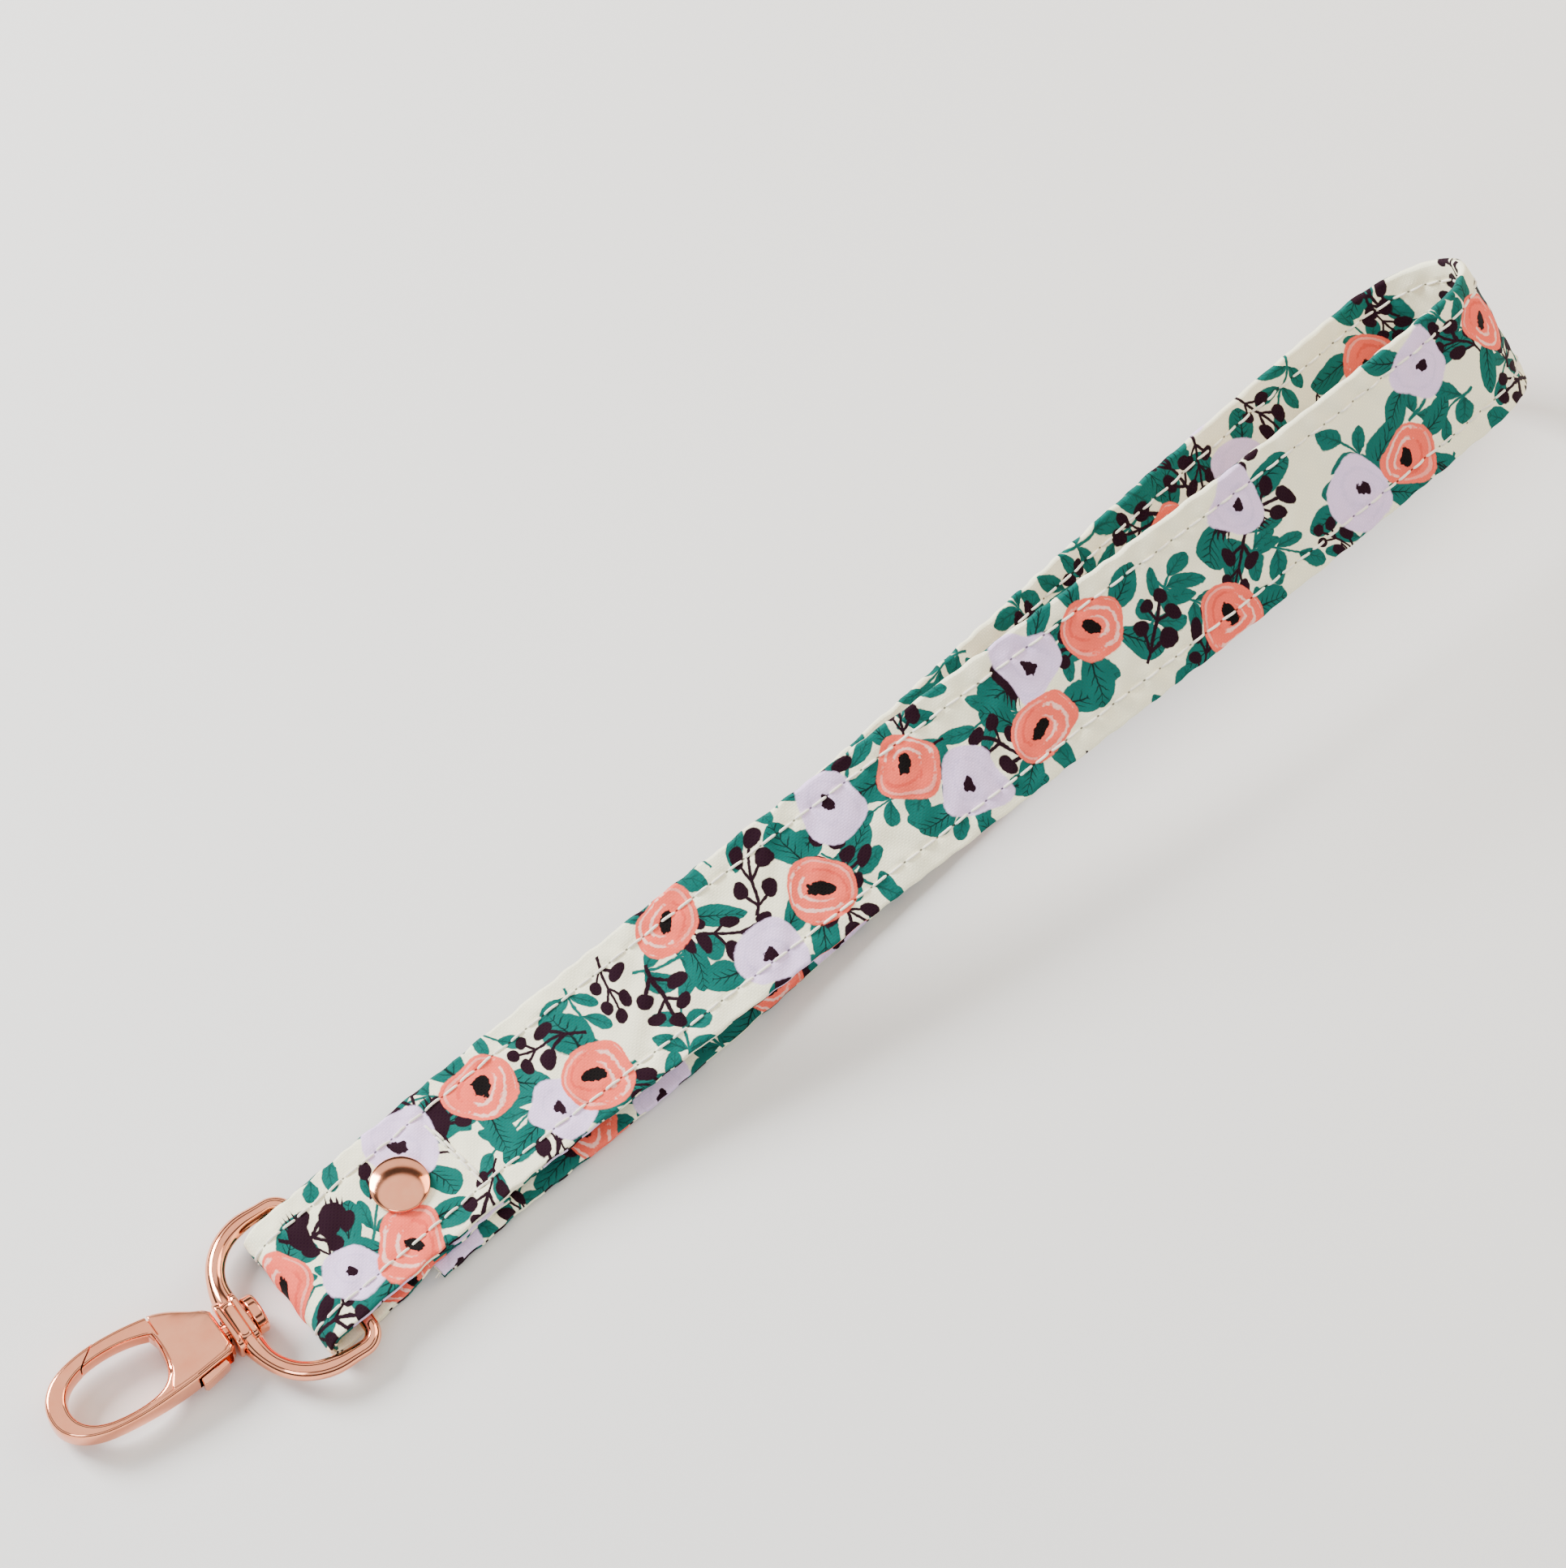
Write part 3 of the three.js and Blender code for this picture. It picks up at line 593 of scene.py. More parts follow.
def rounded_plate(outlines, half, edge, steps=5):
    """A plate from closed outlines of bezier pieces (the first outside, the others holes), with rounded
    edges, in the hook's frame."""
    curve = bpy.data.curves.new("outline", "CURVE")
    curve.dimensions = "2D"
    curve.fill_mode = "BOTH"
    curve.extrude = (half - edge) * MM
    curve.bevel_depth = edge * MM
    curve.bevel_resolution = steps
    curve.offset = -edge * MM
    for outline in outlines:
        spline = curve.splines.new("POLY")
        spline.points.add(len(outline) - 1)
        for point, (x, y) in zip(spline.points, outline):
            point.co = (x * MM, (y - LEAN * x) * MM, 0, 1)
        spline.use_cyclic_u = True
    holder = bpy.data.objects.new("outline", curve)
    bpy.context.scene.collection.objects.link(holder)
    bpy.context.view_layer.update()
    mesh = bpy.data.meshes.new_from_object(holder)
    bpy.data.objects.remove(holder)
    bpy.data.curves.remove(curve)
    shape = bmesh.new()
    shape.from_mesh(mesh)
    bmesh.ops.remove_doubles(shape, verts=shape.verts, dist=1e-6)
    bmesh.ops.recalc_face_normals(shape, faces=shape.faces)
    shape.to_mesh(mesh)
    shape.free()
    return mesh


def outline_of(start, *legs):
    """Points round a closed outline. A leg is one point for a line or three for a cubic curve."""
    points, here = [], start
    for leg in legs:
        if len(leg) == 3:
            points += [tuple(p) for p in bezier(here, *leg, 26)]
            here = leg[2]
        else:
            points.append(here)
            here = leg[0]
    if math.dist(here, start) > 1e-6:
        points.append(here)
    return points


def hook_outline():
    return outline_of(
        (0, -3.0),
        ((0.7, -3.7),),
        ((2.6, -4.3), (4.0, -6.1), (6.8, -6.45)),
        ((12.0, -7.1), (18.0, -6.7), (21.3, -4.4)),
        ((23.0, -3.1), (23.9, -1.4), (23.9, 0.6)),
        ((23.9, 3.2), (21.6, 4.9), (18.2, 5.3)),
        ((14.2, 5.7), (8.4, 5.2), (3.8, 4.05)),
        ((0.7, 3.4),),
        ((0, 2.8),),
    )


def eye_outline():
    return outline_of(
        (7.7, -3.9),
        ((11.0, -5.2), (16.4, -5.0), (19.2, -3.1)),
        ((20.6, -2.1), (21.2, -0.9), (21.2, 0.6)),
        ((21.2, 2.6), (19.6, 3.8), (17.2, 4.1)),
        ((14.4, 4.4), (11.0, 4.2), (9.6, 3.0)),
        ((8.2, 1.9), (7.5, -1.0), (7.7, -3.9)),
    )


def body_outline():
    """The raised body between the base and the eye, with chamfered corners."""
    return outline_of(
        (0.35, -2.5),
        ((1.2, -3.45),),
        ((3.2, -4.2), (4.4, -5.6), (7.0, -5.95)),
        ((7.6, -4.1),),
        ((7.2, -1.0), (7.6, 1.6), (8.6, 3.0)),
        ((8.9, 3.5), (9.2, 3.9), (9.4, 4.5)),
        ((7.2, 4.4), (5.4, 4.0), (1.3, 3.05)),
        ((0.35, 2.3),),
    )


def lever_outline():
    """The thumb tab, the eye round the pin and the arm that reaches the gate inside the body."""
    return [
        (1.6, 3.5), (1.6, 4.3), (1.9, 4.5), (5.3, 5.5), (5.65, 5.3), (5.65, 4.4), (5.2, 3.3), (6.6, 1.2),
        (6.9, -0.4), (8.1, -4.2), (7.6, -6.0), (6.4, -5.8), (3.9, -1.1), (3.4, 0.2), (3.55, 1.6), (3.3, 4.0),
    ]


def prism(points, half):
    """A plain prism mesh in metres from an outline in the hook's frame, for cutting."""
    leaned = [(x, y - LEAN * x) for x, y in points]
    vertices = [(x, y, z) for z in (-half, half) for x, y in leaned]
    return solid_of(vertices, sweep_faces(2, len(points)))


def solid_of(vertices, faces):
    """A mesh in metres with its faces turned outwards, from vertices in millimetres."""
    mesh = bpy.data.meshes.new("solid")
    mesh.from_pydata([(x * MM, y * MM, z * MM) for x, y, z in vertices], [], faces)
    shape = bmesh.new()
    shape.from_mesh(mesh)
    bmesh.ops.recalc_face_normals(shape, faces=shape.faces)
    shape.to_mesh(mesh)
    shape.free()
    return mesh


def boolean(mesh, other, operation):
    """mesh changed by other through an exact boolean."""
    host = bpy.data.objects.new("host", mesh)
    tool = bpy.data.objects.new("tool", other)
    for thing in (host, tool):
        bpy.context.scene.collection.objects.link(thing)
    modifier = host.modifiers.new("cut", "BOOLEAN")
    modifier.operation = operation
    modifier.solver = "EXACT"
    modifier.object = tool
    bpy.context.view_layer.update()
    result = bpy.data.meshes.new_from_object(host.evaluated_get(bpy.context.evaluated_depsgraph_get()))
    bpy.data.objects.remove(host)
    bpy.data.objects.remove(tool)
    return result


def gate_region(grow):
    seam = 7.05 - grow
    return [(seam, -8), (12.41 + grow, -8), (18.55 + grow, -3), (seam, -3)]


def thicken_spine(mesh):
    """Raises the hook's fixed arm where it runs into the raised body."""
    for vertex in mesh.vertices:
        x = vertex.co.x / MM
        y = vertex.co.y / MM + LEAN * x
        along = 1 - smoothstep(min(max((x - 8) / 8, 0), 1))
        aside = smoothstep(min(max((y - 1.2) / 1.5, 0), 1))
        vertex.co.z *= 1 + (0.9 * BODY_HALF / ARM_HALF - 1) * along * aside


def build_hook(material):
    rim = rounded_plate([hook_outline(), eye_outline()], ARM_HALF, 0.62)
    thicken_spine(rim)
    body = boolean(rim, rounded_plate([body_outline()], BODY_HALF, 0.3, 3), "UNION")
    body = boolean(body, prism(gate_region(0.12), 3), "DIFFERENCE")
    slot = [(0.6, 2.0), (2.9, 2.0), (2.9, -8), (7.4, -8), (7.4, 2.6), (5.9, 2.6), (5.9, 8), (0.6, 8)]
    body = boolean(body, prism(slot, 1.35), "DIFFERENCE")
    body.transform(HOOK_FRAME_METRES)
    hook = dress("hook_body_polished", body, material, "hook", "rose_gold", 30)
    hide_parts("hook_body")
    plate = rounded_plate([hook_outline(), eye_outline()], GATE_HALF, 0.6)
    gate = boolean(plate, prism(gate_region(-0.12), 3), "INTERSECT")
    gate = boolean(gate, rounded_plate([lever_outline()], 1.1, 0.18, 3), "UNION")
    gate.transform(HOOK_FRAME_METRES)
    gate_piece = dress("gate_polished", gate, material, "gate", "rose_gold", 30)
    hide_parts("gate")


HOOK_FRAME_METRES = Matrix.Translation(HOOK_FRAME.translation * MM) @ HOOK_FRAME.to_3x3().to_4x4()


# ---- Node helpers: numbers in a material, with arithmetic ----
def linear(red, green, blue):
    """A colour given as 0 to 255 display values, as linear light."""
    def channel(value):
        value /= 255
        return value / 12.92 if value <= 0.04045 else ((value + 0.055) / 1.055) ** 2.4
    return (channel(red), channel(green), channel(blue), 1)


class Number:
    """A number in a material's node tree. Arithmetic on it adds math nodes."""

    def __init__(self, tree, socket):
        self.tree = tree
        self.socket = socket

    def math(self, operation, *others, clamp=False):
        node = self.tree.nodes.new("ShaderNodeMath")
        node.operation = operation
        node.use_clamp = clamp
        for i, value in enumerate((self, *others)):
            if isinstance(value, Number):
                self.tree.links.new(value.socket, node.inputs[i])
            else:
                node.inputs[i].default_value = value
        return Number(self.tree, node.outputs[0])

    def __add__(self, other):
        return self.math("ADD", other)

    __radd__ = __add__

    def __sub__(self, other):
        return self.math("SUBTRACT", other)

    def __rsub__(self, other):
        return self.math("MULTIPLY_ADD", -1.0, other)

    def __mul__(self, other):
        return self.math("MULTIPLY", other)

    __rmul__ = __mul__

    def __truediv__(self, other):
        return self.math("DIVIDE", other)

    def sin(self):
        return self.math("SINE")

    def cos(self):
        return self.math("COSINE")

    def abs(self):
        return self.math("ABSOLUTE")

    def floor(self):
        return self.math("FLOOR")

    def fraction(self):
        return self.math("FRACT")

    def power(self, exponent):
        return self.math("POWER", exponent)

    def least(self, other):
        return self.math("MINIMUM", other)

    def most(self, other):
        return self.math("MAXIMUM", other)

    def above(self, limit):
        return self.math("GREATER_THAN", limit)

    def clamped(self):
        return self.math("ADD", 0.0, clamp=True)

    def shape(self, softness=0.1):
        """1 where the number is above zero and 0 below, over a soft edge."""
        return self.math("DIVIDE", softness, clamp=True)


def length(x, y):
    return (x * x + y * y).math("SQRT")


def parts_of(tree, vector):
    """The x and y of a vector in a node tree, as two Numbers."""
    split = tree.nodes.new("ShaderNodeSeparateXYZ")
    tree.links.new(vector, split.inputs[0])
    return Number(tree, split.outputs[0]), Number(tree, split.outputs[1])


def turned_by(x, y, angle):
    """x and y in axes turned by an angle that is a number or a Number."""
    if isinstance(angle, Number):
        c, s = angle.cos(), angle.sin()
    else:
        c, s = math.cos(angle), math.sin(angle)
    return x * c + y * s, y * c - x * s


FULL_TURN = 6.3


class Cell:
    """One cell of the print: the local place from the motif's centre, and three random numbers."""

    def __init__(self, along, across, size, shift, seed, jitter):
        tree = along.tree
        row_place = (across + shift[1]) / size[1]
        row = row_place.floor()
        column_place = (along + shift[0]) / size[0] + row * 0.5
        column = column_place.floor()
        join = tree.nodes.new("ShaderNodeCombineXYZ")
        tree.links.new(column.socket, join.inputs[0])
        tree.links.new(row.socket, join.inputs[1])
        join.inputs[2].default_value = seed
        noise = tree.nodes.new("ShaderNodeTexWhiteNoise")
        noise.noise_dimensions = "3D"
        tree.links.new(join.outputs[0], noise.inputs["Vector"])
        split = tree.nodes.new("ShaderNodeSeparateColor")
        tree.links.new(noise.outputs["Color"], split.inputs[0])
        self.random = [Number(tree, split.outputs[i]) for i in range(3)]
        self.chance = Number(tree, noise.outputs["Value"])
        self.x = (column_place.fraction() - 0.5) * size[0] + (self.random[0] - 0.5) * (2 * jitter[0])
        self.y = (row_place.fraction() - 0.5) * size[1] + (self.random[1] - 0.5) * (2 * jitter[1])

    def turned(self):
        """The place from the motif's centre, in axes turned by chance."""
        return turned_by(self.x, self.y, self.random[2] * FULL_TURN)


class Paint:
    """A colour that is painted over, motif by motif."""

    def __init__(self, tree, socket):
        self.tree = tree
        self.socket = socket

    def over(self, mask, colour):
        mix = self.tree.nodes.new("ShaderNodeMix")
        mix.data_type = "RGBA"
        self.tree.links.new(mask.socket, mix.inputs["Factor"])
        self.tree.links.new(self.socket, mix.inputs[6])
        if isinstance(colour, Paint):
            self.tree.links.new(colour.socket, mix.inputs[7])
        else:
            mix.inputs[7].default_value = colour
        return Paint(self.tree, mix.outputs[2])


# ---- The floral print ----
CREAM = linear(255, 250, 218)
CORAL = linear(248, 100, 80)
CORAL_PALE = linear(255, 205, 190)
CORAL_DEEP = linear(214, 66, 54)
LILAC = linear(230, 204, 242)
LILAC_DEEP = linear(190, 172, 210)
TEAL = linear(5, 94, 86)
TEAL_DARK = linear(0, 24, 24)
PLUM = linear(28, 1, 19)
INK = linear(3, 1, 3)
FLOWER_RADIUS = 4.6


def leaf(x, y, reach, width):
    """A round-ended leaf from the origin along x, as a shape and a mask of its dark brushed veins."""
    share = (x / reach).clamped()
    body = (share.power(1.15) * math.pi).sin().most(0.0).power(0.55) * width - y.abs()
    middle = (0.24 - y.abs() - share * 0.18).shape(0.12)
    ribs = ((x - y.abs() * 1.2) / 1.1).fraction() - 0.5
    ribs = (0.15 - ribs.abs()).shape(0.14) * (0.55 - (y.abs() / width)).shape(0.25)
    return body.shape(0.14), (middle.most(ribs)) * (body - 0.2).shape(0.2)


def sprig(x, y, reach, spacing=3.6):
    """A stem along x with pairs of leaves and one at its tip."""
    inside = x.above(0.0) * (reach - x).above(0.0)
    local = (x / spacing).fraction() * spacing
    leaf_x, leaf_y = turned_by(local + 0.1, y.abs() - 0.1, math.radians(52))
    pair, pair_vein = leaf(leaf_x, leaf_y, 4.3, 1.2)
    tip, tip_vein = leaf(x - reach + 0.3, y, 4.6, 1.4)
    stem = (0.26 - y.abs()).shape(0.12) * (x + 1.4).above(0.0) * (reach - x).above(0.0)
    return (pair * inside).most(tip).most(stem), (pair_vein * inside).most(tip_vein)


def berries(x, y):
    """A forked stem with pairs of round berries."""
    spacing, reach = 3.2, 6.4
    inside = x.above(0.0) * (reach - x).above(0.0)
    local = (x / spacing).fraction() * spacing
    ball = (1.12 - length(local - 2.1, y.abs() - 1.8)).shape(0.12)
    stalk_x, stalk_y = turned_by(local, y.abs(), math.atan2(1.8, 2.1))
    stalk = (0.27 - stalk_y.abs()).shape(0.1) * (2.4 - stalk_x).above(0.0)
    tip = (1.15 - length(x - reach - 0.7, y)).shape(0.12)
    stem = (0.28 - y.abs()).shape(0.1) * (x + 1.6).above(0.0) * (reach - x).above(0.0)
    return (ball.most(stalk) * inside).most(tip).most(stem)


def rosehips(x, y):
    """Two round hips on one stem, each with a little crown."""
    hip_x, hip_y = turned_by(x, y.abs(), math.radians(27))
    stem = (0.24 - hip_y.abs()).shape(0.1) * hip_x.above(-0.5) * (2.6 - hip_x).above(0.0)
    share = ((hip_x - 2.0) / 4.4).clamped()
    flesh = ((share.power(1.2) * math.pi).sin().most(0.0).power(0.6) * 1.6 - hip_y.abs()).shape(0.14)
    crown_x = (hip_x - 6.0) / 1.4
    spikes = 0.46 - ((hip_y / 0.7).fraction() - 0.5).abs() - crown_x * 0.36
    inside = (1.05 - hip_y.abs()).above(0.0) * crown_x.above(-0.3) * (1.0 - crown_x).above(0.0)
    return flesh.most(spikes.shape(0.14) * inside).most(stem)


class Flower:
    """Where a place lies round a flower's middle: its distance, its angle, and the angle turned by chance."""

    def __init__(self, cell):
        self.cell = cell
        self.radius = length(cell.x, cell.y)
        self.angle = cell.y.math("ARCTAN2", cell.x)
        self.turned = self.angle + cell.random[2] * FULL_TURN


def leaf_wheel(flower, sectors, start, reach, width, keep):
    """Leaves that point away from a flower, one in each sector that chance keeps."""
    place = flower.angle * (sectors / (2 * math.pi)) + flower.cell.random[2] * sectors
    local = (place.fraction() - 0.5) * (2 * math.pi / sectors)
    sector = place.floor().math("FLOORED_MODULO", float(sectors))
    lottery = (sector * 0.618 + flower.cell.chance * 7.3).fraction()
    kept = (keep - lottery).above(0.0)
    shape, vein = leaf(flower.radius * local.cos() - start, flower.radius * local.sin(), reach, width)
    return shape * kept, vein * kept


def paint_rose(paint, flower, streaks):
    radius, turned = flower.radius, flower.turned
    outline = FLOWER_RADIUS + (turned * 3.0).sin() * 0.16 + (turned * 2.0).sin() * 0.26
    inner = (outline - 0.35 - radius).shape(0.15)
    paint = paint.over((outline - radius).shape(0.14), CORAL)
    facing = turned.cos() + streaks * 1.4
    waves = ((radius * 4.2 + turned * 0.8 + streaks * 2.0).sin() - 0.35).shape(0.5)
    rings = waves * (radius - 1.6).shape(0.3)
    pale = rings * (facing - 0.05).shape(0.3) * inner
    outer = (0.24 - (radius - outline + 0.75).abs()).shape(0.12) * (-0.1 - facing).shape(0.3)
    deep = rings * (-0.25 - facing).shape(0.4) * inner
    paint = paint.over(deep * 0.6, CORAL_DEEP).over((pale * 0.85).most(outer * 0.4), CORAL_PALE)
    heart_x, heart_y = turned_by(flower.cell.x, flower.cell.y, flower.cell.random[0] * FULL_TURN)
    heart = 1.15 + streaks * 0.7 - length(heart_x * 0.7, heart_y * 1.15)
    return paint.over(heart.shape(0.12), INK)


def paint_lilac(paint, flower, streaks, kept):
    radius, turned = flower.radius, flower.turned
    outline = FLOWER_RADIUS + (turned * 3.0).sin() * 0.3 + (turned * 5.0).sin() * 0.16
    paint = paint.over((outline - radius).shape(0.25) * kept, LILAC)
    strokes = ((radius * 3.2 + turned).sin() + streaks * 1.5 - 0.5).shape(0.6)
    paint = paint.over(strokes * (outline - 0.5 - radius).shape(0.5) * kept * 0.3, LILAC_DEEP)
    heart = 1.0 + (turned * 3.0).sin() * 0.12 + streaks * 0.7 - radius
    return paint.over(heart.shape(0.12) * kept, PLUM)


def noise_pair(tree, vector, scale, detail):
    """Two numbers of smooth noise about zero."""
    noise = tree.nodes.new("ShaderNodeTexNoise")
    noise.noise_dimensions = "2D"
    noise.inputs["Scale"].default_value = scale
    noise.inputs["Detail"].default_value = detail
    tree.links.new(vector, noise.inputs["Vector"])
    split = tree.nodes.new("ShaderNodeSeparateColor")
    tree.links.new(noise.outputs["Color"], split.inputs[0])
    return Number(tree, split.outputs[0]) - 0.5, Number(tree, split.outputs[1]) - 0.5


# Loose grids of motifs: cell size and shift in millimetres, seed, jitter, and the share of cells kept.
SPRIG_GRIDS = (
    ((16.0, 13.0), (7.0, 5.0), 11.0, (0.8, 0.8), 0.95),
    ((14.5, 15.0), (2.0, 12.0), 23.0, (0.8, 0.8), 0.7),
)
BERRY_GRIDS = (
    ((12.0, 11.5), (3.0, 2.0), 3.0, (0.6, 0.6), 0.6),
    ((13.5, 12.5), (9.5, 8.0), 31.0, (0.6, 0.6), 0.45),
)
ROSEHIP_GRIDS = (((19.0, 17.0), (9.0, 4.0), 9.0, (0.8, 0.8), 0.5),)
LILAC_GRIDS = (
    ((34.0, 24.0), (30.5, 7.0), 1.0, (2.0, 1.5), 0.8),
    ((34.0, 24.0), (14.0, 17.0), 5.0, (2.0, 1.5), 0.5),
)
ROSE_GRIDS = (
    ((34.0, 24.0), (3.0, 16.5), 2.0, (3.0, 2.6), 1.0),
    ((34.0, 24.0), (20.0, 8.5), 4.0, (3.0, 2.6), 0.85),
)


def motifs(grids, along, across):
    """The cell and the mask of kept cells of each grid."""
    for size, shift, seed, jitter, keep in grids:
        cell = Cell(along, across, size, shift, seed, jitter)
        yield cell, (keep - cell.chance).above(0.0)


def floral_print(tree, place):
    """The printed colour at a place on the cloth, from its distance along and across in millimetres."""
    wobble, drift = noise_pair(tree, place, 0.14, 0.0)
    streaks, edges = noise_pair(tree, place, 1.5, 1.5)
    along, across = parts_of(tree, place)
    along = along + wobble * 3.0 + streaks * 0.22
    across = across + drift * 3.0 + edges * 0.22
    base = tree.nodes.new("ShaderNodeRGB")
    base.outputs[0].default_value = CREAM
    paint = Paint(tree, base.outputs[0])

    roses = [(Flower(cell), kept) for cell, kept in motifs(ROSE_GRIDS, along, across)]
    lilacs = [(Flower(cell), kept) for cell, kept in motifs(LILAC_GRIDS, along, across)]
    for cell, kept in motifs(SPRIG_GRIDS, along, across):
        x, y = cell.turned()
        leaves, veins = sprig(x + 5.4, y, 7.2)
        paint = paint.over(leaves * kept, TEAL).over(veins * kept * 0.5, TEAL_DARK)
    for flower, kept in lilacs + roses:
        leaves, veins = leaf_wheel(flower, 5, 3.0, 7.0, 2.1, 0.62)
        paint = paint.over(leaves * kept, TEAL).over(veins * kept, TEAL_DARK)
    for cell, kept in motifs(BERRY_GRIDS, along, across):
        x, y = cell.turned()
        paint = paint.over(berries(x + 3.6, y) * kept, PLUM)
    for cell, kept in motifs(ROSEHIP_GRIDS, along, across):
        x, y = cell.turned()
        paint = paint.over(rosehips(x + 3.8, y) * kept, PLUM)
    for flower, kept in lilacs:
        paint = paint_lilac(paint, flower, streaks, kept)
    for flower, kept in roses:
        paint = Paint(tree, paint.over(kept, paint_rose(paint, flower, streaks)).socket)
    return paint


def needle_hole_shade(tree, place):
    """A mask of painted shade: dark spots in the needle holes between the stitches."""
    along, across = parts_of(tree, place)
    step = ((along / STITCH_PITCH + 0.5).fraction() - 0.5) * STITCH_PITCH
    front = (across.abs() - STITCH_T).abs()
    back = ((across - (WIDTH + PRINT_GAP)).abs() - STITCH_T).abs()
    return (0.17 - length(step * 0.7, front.least(back))).shape(0.08)


# ---- Materials ----
def material(name):
    made = bpy.data.materials.new(name)
    made.use_nodes = True
    return made, made.node_tree, made.node_tree.nodes["Principled BSDF"]


def weave_height(tree, place):
    """A plain weave's height over the cloth, from 0 to 1."""
    along, across = parts_of(tree, place)
    warp = (along * (math.pi / WEAVE_PITCH)).sin()
    weft = (across * (math.pi / WEAVE_PITCH)).sin()
    return (warp * weft) * 0.25 + (warp.abs() + weft.abs()) * 0.375


def roughen(tree, shader, height, strength, distance):
    """Lets a height shape the light on the surface."""
    bump = tree.nodes.new("ShaderNodeBump")
    bump.inputs["Strength"].default_value = strength
    bump.inputs["Distance"].default_value = distance
    tree.links.new(height.socket, bump.inputs["Height"])
    tree.links.new(bump.outputs[0], shader.inputs["Normal"])


def printed_cotton():
    made, tree, shader = material("printed_cotton")
    attribute = tree.nodes.new("ShaderNodeAttribute")
    attribute.attribute_name = "print_place"
    place = attribute.outputs["Vector"]
    weave = weave_height(tree, place)
    colour = floral_print(tree, place)
    # Painted shade: the weave's low places are darkened a little, where shade would fall between the yarns.
    colour = colour.over((1.0 - weave) * 0.14, linear(60, 48, 40))
    # Painted shade: the needle holes along the stitching are painted dark.
    colour = colour.over(needle_hole_shade(tree, place) * 0.85, linear(30, 20, 18))
    tree.links.new(colour.socket, shader.inputs["Base Color"])
    roughen(tree, shader, weave, 0.45, 0.00008)
    shader.inputs["Roughness"].default_value = 0.86
    shader.inputs["Specular IOR Level"].default_value = 0.1
    shader.inputs["Sheen Weight"].default_value = 0.02
    return made


def grain(tree, size, detail):
    """Smooth noise in space, from about 0 to 1, with blots of the given size in metres."""
    noise = tree.nodes.new("ShaderNodeTexNoise")
    noise.inputs["Scale"].default_value = 1.0 / size
    noise.inputs["Detail"].default_value = detail
    tree.links.new(tree.nodes.new("ShaderNodeTexCoord").outputs["Object"], noise.inputs["Vector"])
    return Number(tree, noise.outputs[0])


def grained(name, light, dark, roughness, size, relief):
    """A material that runs from a light to a dark tone and from smooth to rough over its grain."""
    made, tree, shader = material(name)
    blots = grain(tree, size, 3.0)
    base = tree.nodes.new("ShaderNodeRGB")
    base.outputs[0].default_value = light
    colour = Paint(tree, base.outputs[0]).over((blots - 0.35).shape(0.5), dark)
    tree.links.new(colour.socket, shader.inputs["Base Color"])
    smooth, rough = roughness
    tree.links.new((blots * (rough - smooth) + smooth).socket, shader.inputs["Roughness"])
    roughen(tree, shader, blots, 1.0, relief)
    return made, shader


def polished_metal(name, light, dark, roughness):
    made, shader = grained(name, light, dark, roughness, 0.0028, 0.000012)
    shader.inputs["Metallic"].default_value = 1.0
    return made


def yarn_material(name, light, dark):
    made, shader = grained(name, light, dark, (0.6, 0.9), 0.00025, 0.00003)
    shader.inputs["Sheen Weight"].default_value = 0.3
    return made


# ---- Floor, light and camera, in metres ----
FOCAL_LENGTH = 117.26
CAMERA_PLACE = Vector((-0.1571, -0.2327, 0.5854))
CAMERA_TARGET = Vector((0.0772, 0.0109, 0))
CAMERA_RIGHT = Vector((0.7209, -0.693, 0))
FLOOR_Z = -0.0002


def build_stage():
    bpy.ops.mesh.primitive_plane_add(size=6, location=(0, 0, FLOOR_Z))
    floor = bpy.context.object
    floor.name = "floor"
    made, _, shader = material("floor")
    shader.inputs["Base Color"].default_value = linear(226, 224, 221)
    shader.inputs["Roughness"].default_value = 0.75
    floor.data.materials.append(made)
    floor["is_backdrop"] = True


def area_light(name, place, target, size, power, colour):
    lamp = bpy.data.lights.new(name, "AREA")
    lamp.size = size
    lamp.energy = power
    lamp.color = colour
    holder = bpy.data.objects.new(name, lamp)
    bpy.context.scene.collection.objects.link(holder)
    holder.location = place
    holder.rotation_euler = (Vector(target) - Vector(place)).to_track_quat("-Z", "Y").to_euler()


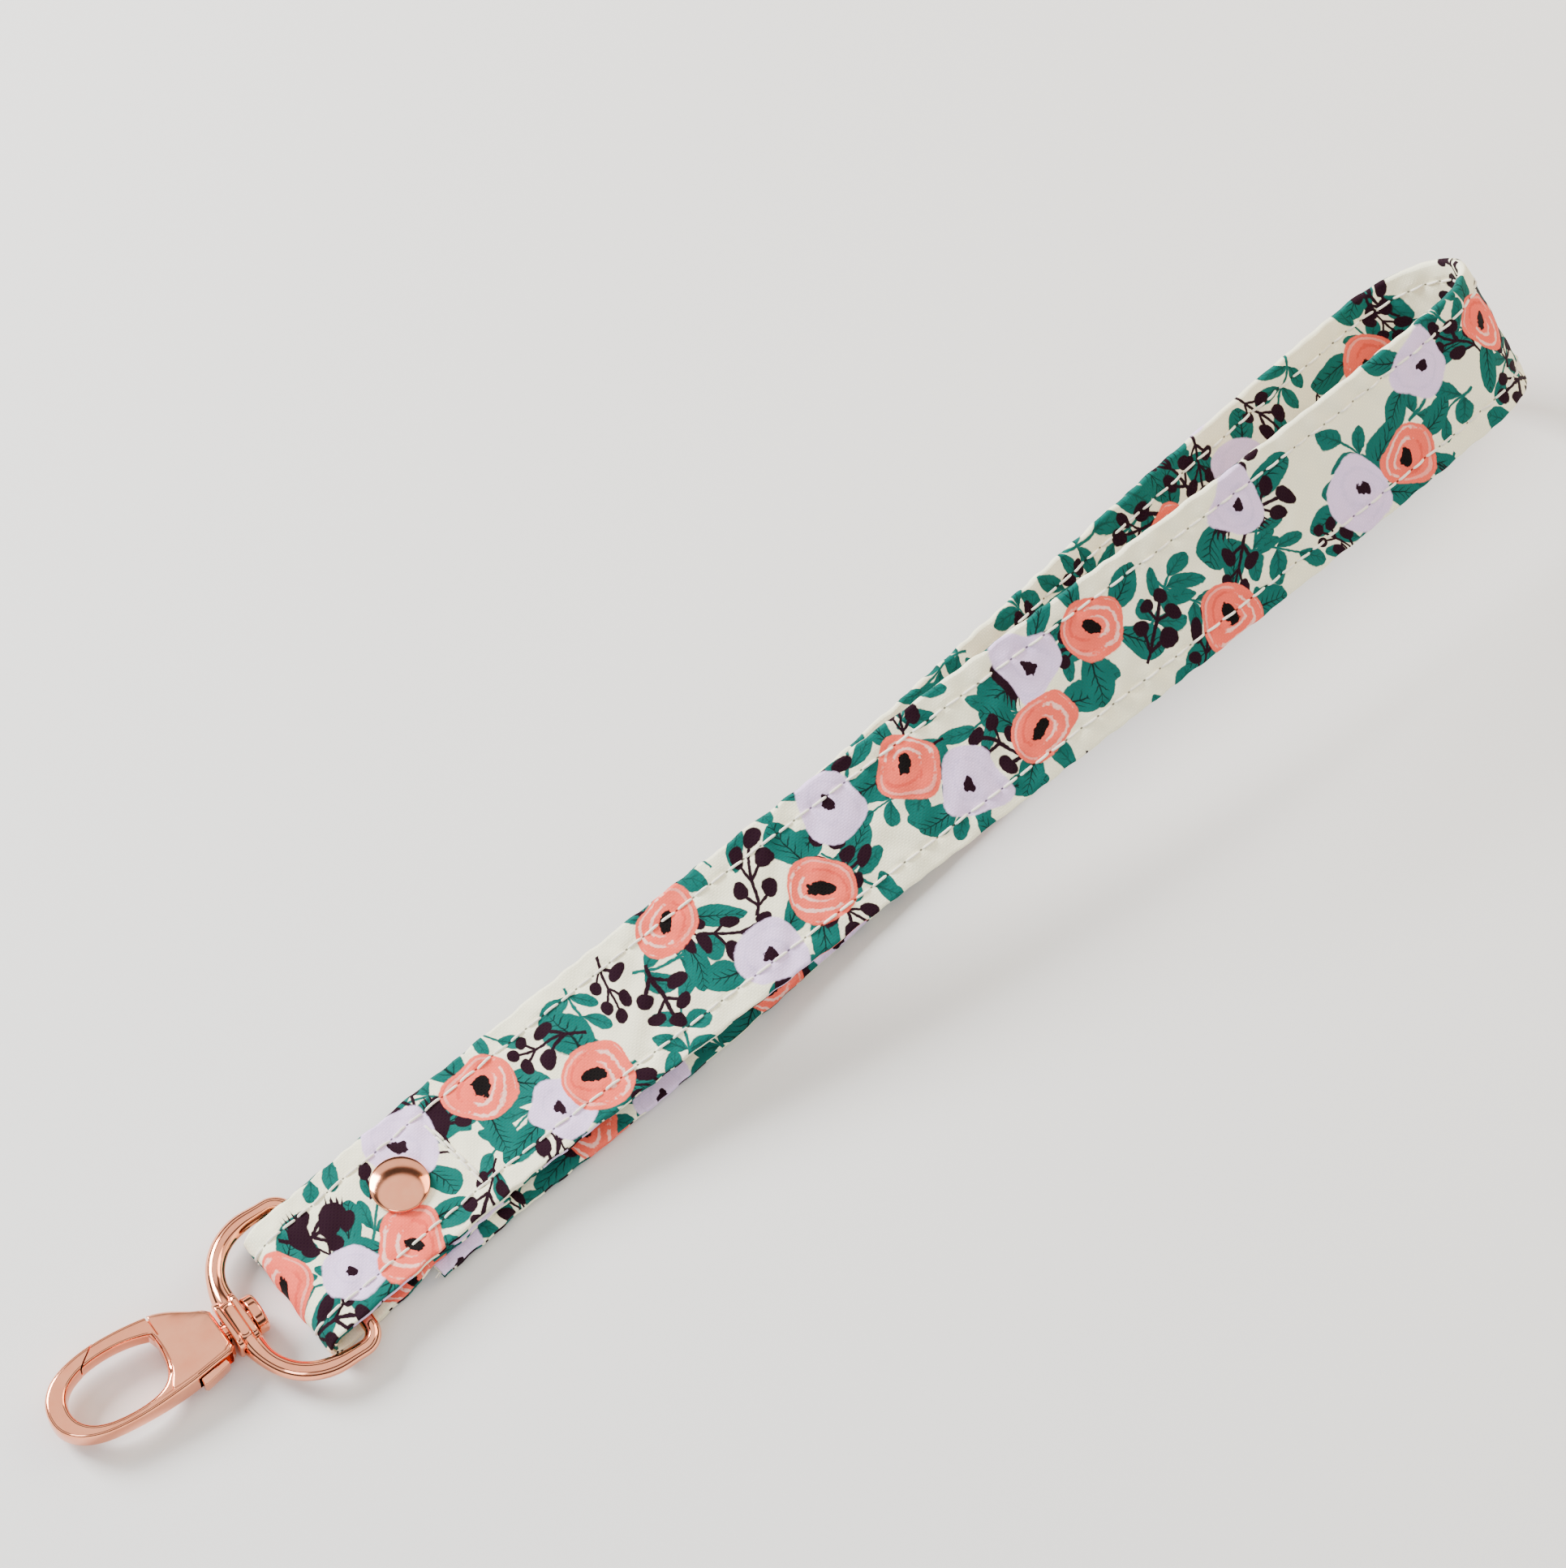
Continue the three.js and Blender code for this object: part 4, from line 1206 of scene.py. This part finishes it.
def build_light():
    middle = (0.077, 0.011, 0)
    area_light("key", (-0.22, 0.86, 0.60), middle, 0.45, 31.0, (0.96, 0.985, 1.0))
    area_light("warm fill", (0.55, -0.10, 0.45), (0.17, -0.01, 0), 0.35, 2.6, (1.0, 0.80, 0.55))
    area_light("cool fill", (-0.60, -0.30, 0.45), (-0.01, 0, 0), 0.3, 2.2, (0.80, 0.92, 1.0))
    world = bpy.data.worlds.new("studio")
    world.use_nodes = True
    tree = world.node_tree
    direction = tree.nodes.new("ShaderNodeTexCoord")
    split = tree.nodes.new("ShaderNodeSeparateXYZ")
    ramp = tree.nodes.new("ShaderNodeValToRGB")
    tree.links.new(direction.outputs["Generated"], split.inputs[0])
    tree.links.new(split.outputs[2], ramp.inputs[0])
    low = [(0.0, 0.3), (0.1, 0.04), (0.32, 0.04), (0.4, 0.85)]
    stops = low + [(0.62, 0.9), (0.68, 0.05), (0.79, 0.05), (0.84, 1.0)]
    for i, (place, level) in enumerate(stops):
        stop = ramp.color_ramp.elements[i] if i < 2 else ramp.color_ramp.elements.new(place)
        stop.position = place
        stop.color = (level, level * 0.99, level * 0.98, 1)
    background = tree.nodes["Background"]
    tree.links.new(ramp.outputs[0], background.inputs["Color"])
    background.inputs["Strength"].default_value = 1.65
    bpy.context.scene.world = world


def build_camera():
    lens = bpy.data.cameras.new("camera")
    lens.lens = FOCAL_LENGTH
    lens.sensor_width = 36
    lens.clip_start = 0.01
    camera = bpy.data.objects.new("camera", lens)
    bpy.context.scene.collection.objects.link(camera)
    back = (CAMERA_PLACE - CAMERA_TARGET).normalized()
    right = CAMERA_RIGHT.normalized()
    up = back.cross(right)
    turn = Matrix((right, up, back)).transposed()
    camera.matrix_world = Matrix.Translation(CAMERA_PLACE) @ turn.to_4x4()
    bpy.context.scene.camera = camera


def repaint(nodes, made):
    """Gives CAD nodes that stay in sight their material."""
    for name in nodes:
        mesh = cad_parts[name].data
        mesh.materials.clear()
        mesh.materials.append(made)


METAL = polished_metal("rose_gold", linear(250, 166, 128), linear(240, 148, 110), (0.06, 0.16))
STEEL = polished_metal("spring_steel", linear(196, 194, 190), linear(176, 174, 170), (0.2, 0.36))
THREAD = yarn_material("thread", linear(242, 236, 220), linear(228, 220, 200))
YARN = yarn_material("yarn", linear(244, 237, 220), linear(230, 221, 200))
PADDING = yarn_material("interfacing", linear(240, 238, 233), linear(224, 221, 213))
build_strap(printed_cotton())
build_padding(PADDING)
build_topstitching(THREAD)
build_tack(THREAD)
build_fray(YARN)
build_rivet(METAL)
build_ring(METAL)
build_swivel(METAL)
build_hook(METAL)
repaint(["gate_pin"], METAL)
repaint(["gate_spring"], STEEL)
build_stage()
build_light()
build_camera()

boxes = {"cad": CAD_BOX, "visual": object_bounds()}
{name: [list(corner) for corner in box] for name, box in boxes.items()}
